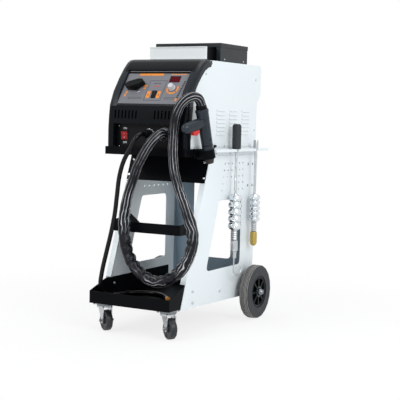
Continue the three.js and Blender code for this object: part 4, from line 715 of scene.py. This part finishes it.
def make_gun_lead():
    """A slack fabric sleeve over the gun's leads, with its plug and its clamp."""
    line = smooth_line(GUN_ROUTE, 22)
    total = length_of(line)
    bends = bends_of(line, line_frames(line))
    radius = GUN_DIAMETER * MM / 2

    def folds(i, run, angle):
        """Long creases with thin light stripes between them, which are painted highlights on the
        folds, and bulges inside each bend.
        """
        ends = max(0.0, min(1.0, run / ROUND_END, (total - run) / ROUND_END))
        bend, inside = bends[i]
        slack = max(LEAST_SLACK, min(1.0, (SLACK_HEIGHT - line[i].z) / SLACK_FADE))
        knee = 1 - (line[i] - Vector(CREASED_SPOT) * MM).length / (CREASED_REACH * MM)
        crushed = max(slack * min(1.0, bend / CRUSHING_BEND), 0.75 * knee)
        facing = 0.5 + 0.5 * math.cos(angle - inside)
        around = Vector((math.cos(angle) * 1.2, math.sin(angle) * 1.2, run * 22))
        wander = (0.10 + 0.35 * crushed) * noise.noise(around)
        twist = 0.05 * crushed ** 2 * math.sin(run / (TWIST_PITCH * MM) * math.pi)
        turn = SHEEN_STRIPES * (angle + (wander + twist)) / (2 * math.pi)
        from_stripe = abs(turn - round(turn)) * 2
        long_fold = 0.02 * math.cos(turn * 2 * math.pi)
        uneven = 0.35 * noise.noise(Vector((run * 25, 4, 0)))
        wave = run / (CREASE_PITCH * MM) + uneven + 0.08 * math.sin(angle)
        crease = abs(math.sin(wave * math.pi)) ** 0.7 - 0.72
        depth = 0.02 + 0.50 * crushed ** 1.5 * facing
        bulge = 0.28 * (slack - LEAST_SLACK) + depth * crease
        rough = 0.03 * noise.noise(Vector((run * 90, math.cos(angle) * 2, math.sin(angle) * 2)))
        size = radius * (0.97 + ends * (long_fold + bulge + rough))
        return size, max(0.0, 1 - from_stripe / SHEEN_STRIPE_WIDTH)

    sleeve = finish_piece("gun_lead", tube_mesh("gun_lead", line, 84, folds), "sleeve",
                          "trolley", ("gun_cable",), sharp=70)
    dressed("gun_plug")
    make_plug_clamp()


make_ground_lead()
make_gun_lead()

# The hood's arms lie outside the first x up to their top height, and outside the second above it
ARM_X, ARM_TOP_X = 106, 118
ARM_LOW_Z, ARM_TOP_Z = 655, 757

# The platform's side flanges are painted white behind its black front
FLANGE_X, FLANGE_Y = 136.5, -100


def is_arm(spot):
    across = abs(spot.x)
    return spot.z > ARM_LOW_Z * MM and (
        across > ARM_TOP_X * MM or across > ARM_X * MM and spot.z < ARM_TOP_Z * MM)


def is_white_flange(spot):
    return abs(spot.x) > FLANGE_X * MM and spot.y > FLANGE_Y * MM


# Nodes whose look or bevel width isn't the usual one
special = {
    # The arms take the lighter look, a painted highlight on the same plastic
    "front_bezel": {
        "look": "bezel_plastic", "width": 1.3, "second": "arm_painted_highlight", "is_second": is_arm,
        "splits": [((x, 0, 0), RIGHT) for x in (-ARM_X, ARM_X, -ARM_TOP_X, ARM_TOP_X)]
        + [((0, 0, z), UP) for z in (ARM_LOW_Z, ARM_TOP_Z)]},
    "platform_shelf": {
        "second": "white_paint", "splits": [((0, FLANGE_Y, 0), REAR)],
        "is_second": is_white_flange},
    "ground_socket": {"look": "dark_steel_and_shade"},
    "toolbox_body": {"look": "toolbox_paint"},
    "toolbox_top": {"look": "toolbox_paint"},
    "power_rocker": {"look": "switch_red"},
    "hook_hammer_grip": {"look": "grip_rubber"},
    "gun_nozzle": {"look": "burnt_tip"},
    "gun_body": {"width": 0.8},
    "drawer_front": {"width": 0.8},
    "selector_knob": {"width": 0.7},
}
# The caster plates are zinc; the darker steel look on them is painted shade under the tray
for side in ("left", "right"):
    special[f"{side}_caster_plate"] = {"look": "dark_steel_and_shade"}
    special[f"{side}_axle_nut"] = {"look": "dark_steel_and_shade"}
    special[f"{side}_rim"] = {"look": "black_plastic"}
    special[f"{side}_tyre"] = {"width": 0.7}
for name in sorted(frame["nodes"]):
    if name not in CORD_NODES:
        dressed(name, **special.get(name, {}))


# Control panel: printed shapes, a painted shadow strip above the print, display frame, pin and the
# selector's mark

# Orange blocks: middle across and up the panel, width and height
ORANGE_BLOCKS = (
    (-84, 20, 6, 9), (-31, 5, 10, 7), (-32, -4, 8, 5), (-88, -19, 6, 8), (-90, -29, 6, 9),
    (-11.5, -26, 12, 24), (23, -26, 11, 24), (87, -43, 7, 9))

# Orange dashes in the top row: middle across the panel and width
ORANGE_DASHES = ((46, 8), (56.5, 10), (67, 8), (77, 9), (87.5, 9))

# Dark dashes: middle across and up the panel, width, height and corner radius
DARK_DASHES = ((-68, 27, 12, 2.2, 0.4), (-54, 27, 8, 2.2, 0.4), (1, 14, 12, 1.6, 0.3),
               (14, 14, 8, 1.6, 0.3))
DIAL_TICKS = 11
SCALE_STEPS = 10


def make_orange_print():
    orange = Detail("panel_orange", "orange_print", "panel_print")
    orange.plate(PANEL, 82, 10, INK, 1.5, at=(-25, 47, LIFT))
    for across, width in ORANGE_DASHES:
        orange.plate(PANEL, width, 3, INK, 0.6, at=(across, 46.5, LIFT))
    for across, up, width, height in ORANGE_BLOCKS:
        orange.plate(PANEL, width, height, INK, 0.8, at=(across, up, LIFT))
    band = [(14, LIFT), (20, LIFT), (20, LIFT + INK), (14, LIFT + INK)]
    for start, turn in ((-190, 62), (-118, 74), (-34, 62)):
        orange.turned(PANEL @ shift(POWER_DIAL_PLACE), band, steps=12, turn=turn, start=start)
    orange.done()


def make_dark_print():
    dark = Detail("panel_lines", "dark_print", "panel_print")
    dark.outline(PANEL, 57, 71, 1.0, INK, at=(7.5, -11.5, LIFT))
    for across in (-53, 69):
        dark.outline(PANEL, 44, 6, 0.9, INK, at=(across, -39, LIFT))
    for across, up, width, height, corner in DARK_DASHES:
        dark.plate(PANEL, width, height, INK, corner, at=(across, up, LIFT))
    for step in range(SCALE_STEPS):
        dark.plate(PANEL, 6 - (step % 2), 3.8, INK, 0.8,
                   at=(96 - step * 0.8, 20 - step * 6, 0.06))
    for across in (-11.5, 24):
        dark.plate(PANEL, 1.6, 7, INK, 0.3, at=(across, -27, 0.18))
    for step in range(DIAL_TICKS):
        tick = PANEL @ shift(POWER_DIAL_PLACE) @ turn_by(-45 + step * 27, "Z")
        dark.plate(tick, 2.2, 0.5, INK, at=(12.6, 0, 0.06))
    dark.done()


def make_panel_fittings():
    # A near-black strip along the print's top edge is painted shadow from the hood's recess, not a
    # seal
    shadow_strip = Detail("panel_shadow_strip", "shadow_mesh", "black_plastic")
    shadow_strip.plate(PANEL, 214, 5, 1.4, 0.6, at=(0, 52.2, LIFT))
    shadow_strip.done()
    red = Detail("panel_red_line", "red_plastic", "panel_print")
    red.plate(PANEL, 17, 2.4, INK, 0.4, at=(7, 4, LIFT))
    red.done()
    surround = Detail("display_surround", "black_plastic", "black_plastic")
    surround.outline(PANEL, 34.5, 21.5, 1.4, 0.9, at=(60, 28.75, LIFT))
    surround.done()
    pin = Detail("panel_pin", "zinc", "zinc")
    pin.turned(PANEL @ shift((-50, -15, 0)),
               [(0, LIFT), (4.6, LIFT), (4.6, 0.9), (4.0, 1.5), (0, 1.9)], steps=20)
    pin.done()
    mark = Detail("selector_mark", "pale_print", "white_plastic", "selector")
    mark.plate(PANEL @ shift(SELECTOR_PLACE) @ turn_by(18, "Z"), 9, 1.6, 0.3, 0.4,
               at=(20, 0, 20.1))
    mark.done()


# Socket bay: the switch's words, frame and marks, and the bay's screws
def make_bay_details():
    x, z = SWITCH_PLACE
    bay = frame_at((x, BAY_FACE_Y, z), FRONT, ACROSS)
    words = Detail("switch_words", "pale_print", "white_plastic")
    words.words(bay, "ON", 8, at=(2, 20.5, 0.2))
    words.words(bay, "OFF", 8, at=(2, -20.5, 0.2))
    words.done()
    surround = Detail("switch_surround", "black_plastic", "black_plastic")
    surround.outline(bay, 27, 30, 1.6, 1.2, at=(0, 0, LIFT))
    surround.done()
    marks = Detail("switch_marks", "pale_print", "white_plastic", "power_switch")
    marks.plate(frame_at((x, -180.73, 575), (0, -0.979, -0.204), ACROSS), 0.8, 3, 0.2)
    marks.turned(frame_at((x, -179.41, 564), (0, -0.999, -0.035), ACROSS),
                 [(1.3, -0.4), (1.8, -0.4), (1.8, 0.2), (1.3, 0.2)], steps=18, closed=True)
    marks.done()
    screws = Detail("bay_screws", "zinc", "zinc")
    for across in (-104, 104):
        for up in (538, 597):
            screws.screw(frame_at((across, BAY_FACE_Y, up), FRONT, ACROSS), 2.4)
    screws.done()


# Screws and bolts of the sheet metal
def make_fasteners():
    side = Detail("side_panel_screws", "zinc", "zinc")
    inner = Detail("tray_screws", "zinc", "zinc")
    for y, z in ((-148, 125.6), (-146.5, 92.4), (17, 106)):
        side.screw(frame_at((SIDE_X, y, z), RIGHT, REAR), 4.4)
        side.screw(frame_at((-SIDE_X, y, z), LEFT, FRONT), 4.4)
        inner.screw(frame_at((TRAY_WALL_X, y, z), LEFT, FRONT), 4.4)
        inner.screw(frame_at((-TRAY_WALL_X, y, z), RIGHT, REAR), 4.4)
    for y in (-24, 64.6):
        side.screw(frame_at((SIDE_X, y, 521), RIGHT, REAR), 2.6)
    side.done()
    inner.done()
    cover = Detail("cover_screws", "zinc", "zinc")
    for y, z in ((-88, 752), (236, 748), (233, 590), (35, 543)):
        for sign in (-1, 1):
            cover.screw(frame_at((sign * COVER_X, y, z), (sign, 0, 0), UP), 2.8)
    cover.done()
    front = Detail("deflector_screws", "chrome", "chrome")
    for x, y, z in ((130, -82.8, 450), (122, -66.7, 495)):
        for sign in (-1, 1):
            front.screw(frame_at((sign * x, y, z), (0, -0.942, 0.336), ACROSS), 4.4)
    front.done()


# Gun: cable boot, screws, rings and nozzle collar, in the gun's own frame
def make_gun_details():
    boot = Detail("gun_cable_boot", "black_plastic", "black_plastic")
    boot.turned(GUN, [(13, 0.1), (16.4, 0.1), (16.4, 2), (15, 2.6), (16, 4), (16, 6), (14.8, 6.6),
                      (15.6, 8), (15.6, 10), (14.6, 11), (13, 11)], steps=36, closed=True)
    boot.done()
    screws = Detail("gun_screws", "black_plastic", "black_plastic")
    for along in (-18, -52, -88):
        for sign in (-1, 1):
            screws.screw(GUN @ frame_at((sign * 16.0, 0, along), (sign, 0, 0), UP), 2.4)
    screws.done()
    rings = Detail("gun_rings", "black_plastic", "black_plastic")
    for along, radius in ((-27, 17.6), (-104, 16.4)):
        rings.turned(GUN @ shift((0, 0, along)),
                     [(13, -1.2), (radius, -1.2), (radius + 0.5, 0), (radius, 1.2), (13, 1.2)],
                     steps=36, closed=True)
    rings.done()
    collar = Detail("gun_nozzle_collar", "brass", "brass")
    collar.turned(GUN @ shift((0, 0, -131.5)),
                  [(10, -1.5), (13.2, -1.5), (13.6, -0.6), (13.6, 0.6), (13.2, 1.5), (10, 1.5)],
                  steps=36, closed=True)
    collar.done()


def make_cord_clip():
    """A clip on the cover's side, with a short pipe that a lead can go through."""
    clip = Detail("cord_clip", "black_plastic", "black_plastic")
    place = frame_at((COVER_X, -29, 540), RIGHT, REAR)
    clip.plate(place, 8, 14, 1.6, 1.5, at=(0, 0, LIFT), round_edges=0.3)
    clip.turned(place @ frame_at((0, 3, 3.2), RIGHT, REAR),
                [(2.2, -4), (3.8, -4), (3.8, 4), (2.2, 4)], steps=20, closed=True)
    clip.done()


# Slide hammers: ribs of the threads and rings on the weights, each turned round its rod
THREAD_PITCH = 5.5


def make_hammer_details():
    threads = Detail("hammer_threads", "zinc", "zinc")
    for y, low, high in ((HOOK_HAMMER_Y, 258.2, 290.6), (STUD_HAMMER_Y, 273.0, 304.6)):
        count = int((high - low) / THREAD_PITCH)
        pitch = (high - low) / count
        profile = [(7.4, low)]
        for i in range(count):
            profile += [(8.05, low + pitch * (i + 0.12)), (9.3, low + pitch * (i + 0.4)),
                        (9.3, low + pitch * (i + 0.6)), (8.05, low + pitch * (i + 0.88))]
        profile.append((7.4, high))
        threads.turned(frame_at((HAMMER_X, y, 0), UP, ACROSS), profile, steps=28, closed=True)
    threads.done()
    for kind, y, z in (("hook", HOOK_HAMMER_Y, 396), ("stud", STUD_HAMMER_Y, 389)):
        ring = Detail(f"{kind}_weight_ring", "chrome", "chrome", f"{kind}_weight")
        ring.turned(frame_at((HAMMER_X, y, z), UP, ACROSS),
                    [(6, -0.5), (11, -0.5), (11, 0.8), (10.2, 1.6), (6, 1.6)], steps=28,
                    closed=True)
        ring.done()


# Wheels and casters
def make_wheel_details():
    heading = math.radians(CASTER_TURN)
    along_fork = (math.cos(heading), math.sin(heading), 0)
    x, y, z = WHEEL_MIDDLE
    for side, sign in (("left", -1), ("right", 1)):
        face = frame_at((sign * x, y, z), (sign, 0, 0), UP)
        hub = Detail(f"{side}_hub_ring", "slate_plastic", "slate_plastic", f"{side}_wheel")
        hub.turned(face, [(11.8, -1), (16.8, -1), (17.6, -0.2), (17.2, 0.8), (12.4, 0.8),
                          (11.8, 0.2)], steps=32, closed=True)
        hub.turned(face, [(43, -7.2), (44.2, -7.2), (44.6, -1.0), (43.6, -0.4), (42.8, -1)],
                   steps=48, closed=True)
        hub.done()
        fork = frame_at((sign * CASTER_X, CASTER_Y, 0), UP, along_fork)
        # These bolts are zinc; the darker steel look on them is painted shade under the tray
        bolts = Detail(f"{side}_caster_bolts", "dark_steel_and_shade", "zinc")
        for across in (-19, 19):
            for along in (-25, 25):
                spot = (sign * CASTER_X + across, CASTER_Y + along, 80.5)
                bolts.bolt(frame_at(spot, DOWN, ACROSS), 3.4)
        bolts.done()
        nuts = Detail(f"{side}_caster_nuts", "dark_steel_and_shade", "zinc", f"{side}_swivel")
        for way in (-1, 1):
            nuts.bolt(fork @ frame_at((14, way * 17.3, 31), (0, way, 0), ACROSS), 4.4)
        nuts.done()


# Case, tool box and rear
VENT_SLOTS = 9
VENT_PITCH = 10


def make_case_details():
    # Near-black plates behind the vent slots are painted shade, so the slots read dark
    shade_plates = Detail("vent_shade_plates", "shadow_mesh", "black_plastic")
    for centre in (-72, 63):
        for slot in range(VENT_SLOTS):
            across = centre - 40 + slot * VENT_PITCH
            shade_plates.plate(frame_at((across, VENT_FACE_Y, 631), FRONT, ACROSS), 9.2, 34, 0.8)
    shade_plates.done()
    rail = Detail("drawer_pull", "grey_paint", "grey_paint", "drawer")
    rail.plate(frame_at((0, -28, 834.4), FRONT, ACROSS), 194, 1.6, 2.4, 0.3, at=(0, 0, 0.02))
    rail.done()
    rivets = Detail("toolbox_rivets", "zinc", "zinc")
    for sign in (-1, 1):
        for y in (60, 185):
            rivets.screw(frame_at((sign * TOOLBOX_X, y, 802), (sign, 0, 0), UP), 2.4)
    rivets.done()
    rear = Detail("rear_screws", "zinc", "zinc")
    for x in (-120, 120):
        for z in (540, 660, 775):
            rear.screw(frame_at((x, COVER_REAR_Y, z), REAR, LEFT), 2.8)
    for x in (-110, 110):
        for z in (130, 300, 470):
            rear.screw(frame_at((x, REAR_PLATE_Y, z), REAR, LEFT), 3.2)
    for x in (-43, 43):
        for z in (649.1, 735.1):
            rear.screw(frame_at((x, COVER_REAR_Y, z), REAR, LEFT), 2.6)
    rear.done()


make_orange_print()
make_dark_print()
make_panel_fittings()
make_bay_details()
make_fasteners()
make_gun_details()
make_cord_clip()
make_hammer_details()
make_wheel_details()
make_case_details()


# Floor, light and background
LIT_COLOUR = (0.94, 0.98, 1, 1)
WHITE = (1, 1, 1, 1)


def white_for_camera(tree, lit, white):
    """A mix of a lit closure and a white one, and a mask of the rays that see the white one:
    those from the camera, glass and metal."""
    rays = node(tree, "ShaderNodeLightPath")
    seen = maths(tree, "MAXIMUM", rays.outputs["Is Camera Ray"],
                 maths(tree, "MAXIMUM", rays.outputs["Is Glossy Ray"],
                       rays.outputs["Is Transmission Ray"]))
    mix = node(tree, "ShaderNodeMixShader")
    tree.links.new(lit, mix.inputs[1])
    tree.links.new(white, mix.inputs[2])
    return seen, mix


def make_floor_material():
    """Pale floor that the camera sees white, apart from the shadow under the object."""
    made = bpy.data.materials.new("floor_white")
    made.use_nodes = True
    tree = made.node_tree
    shader = tree.nodes["Principled BSDF"]
    shader.inputs["Base Color"].default_value = (0.88, 0.88, 0.88, 1)
    shader.inputs["Roughness"].default_value = 0.9
    shader.inputs["Specular IOR Level"].default_value = 0.05
    glow = node(tree, "ShaderNodeEmission", {"Color": WHITE, "Strength": 1.0})
    seen, mix = white_for_camera(tree, shader.outputs[0], glow.outputs[0])
    spot = node(tree, "ShaderNodeTexCoord").outputs["Object"]
    reach = node(tree, "ShaderNodeVectorMath", operation="LENGTH")
    tree.links.new(spot, reach.inputs[0])
    fade = node(tree, "ShaderNodeMapRange", {"From Min": 0.35, "From Max": 1.3, "To Min": 0.8,
                                             "To Max": 1.0}, interpolation_type="SMOOTHSTEP")
    tree.links.new(reach.outputs["Value"], fade.inputs["Value"])
    tree.links.new(maths(tree, "MULTIPLY", seen, fade.outputs["Result"]), mix.inputs[0])
    tree.links.new(mix.outputs[0], tree.nodes["Material Output"].inputs["Surface"])
    return made


def make_stage():
    bm = bmesh.new()
    bmesh.ops.create_grid(bm, x_segments=1, y_segments=1, size=12)
    floor = bpy.data.objects.new("floor", mesh_from(bm, "floor"))
    floor.data.materials.append(make_floor_material())
    bpy.context.collection.objects.link(floor)
    world = bpy.data.worlds.new("studio")
    world.use_nodes = True
    bpy.context.scene.world = world
    tree = world.node_tree
    tree.nodes.clear()
    light = node(tree, "ShaderNodeBackground", {"Color": LIT_COLOUR, "Strength": 0.62})
    white = node(tree, "ShaderNodeBackground", {"Color": WHITE, "Strength": 1.0})
    seen, mix = white_for_camera(tree, light.outputs[0], white.outputs[0])
    tree.links.new(seen, mix.inputs[0])
    out = node(tree, "ShaderNodeOutputWorld")
    tree.links.new(mix.outputs[0], out.inputs["Surface"])


def hang_lamp(lamp, place, target):
    """Puts a lamp at a place and aims it, both in metres."""
    holder = bpy.data.objects.new(lamp.name, lamp)
    holder.location = place
    aim = Vector(target) - Vector(place)
    holder.rotation_euler = aim.to_track_quat("-Z", "Y").to_euler()
    bpy.context.collection.objects.link(holder)


def area_light(name, place, target, size, power, colour=(1, 1, 1)):
    """A soft square lamp."""
    lamp = bpy.data.lights.new(name, "AREA")
    lamp.shape = "SQUARE"
    lamp.size = size
    lamp.energy = power
    lamp.color = colour
    hang_lamp(lamp, place, target)


def spot_light(name, place, target, angle, power, colour):
    """A spot lamp with soft shadows; its cone's angle is in degrees."""
    lamp = bpy.data.lights.new(name, "SPOT")
    lamp.spot_size = math.radians(angle)
    lamp.spot_blend = 0.7
    lamp.shadow_soft_size = 0.12
    lamp.energy = power
    lamp.color = colour
    hang_lamp(lamp, place, target)


make_stage()
middle = (0, 0, 0.45)
area_light("key", (-1.2, -2.6, 2.4), middle, 1.4, 34)
area_light("fill", (2.6, -1.1, 1.9), middle, 1.3, 39, LIT_COLOUR[:3])
area_light("top", (0.2, 0.4, 3.0), (0, 0, 0.5), 1.8, 18)

# The last lamp lights the inside of the trolley, past its open front
spot_light("inside", (0.9, -1.9, 0.40), (-0.12, 0.10, 0.36), 13, 34, (0.74, 0.90, 1))

bpy.context.scene.view_settings.view_transform = "Standard"
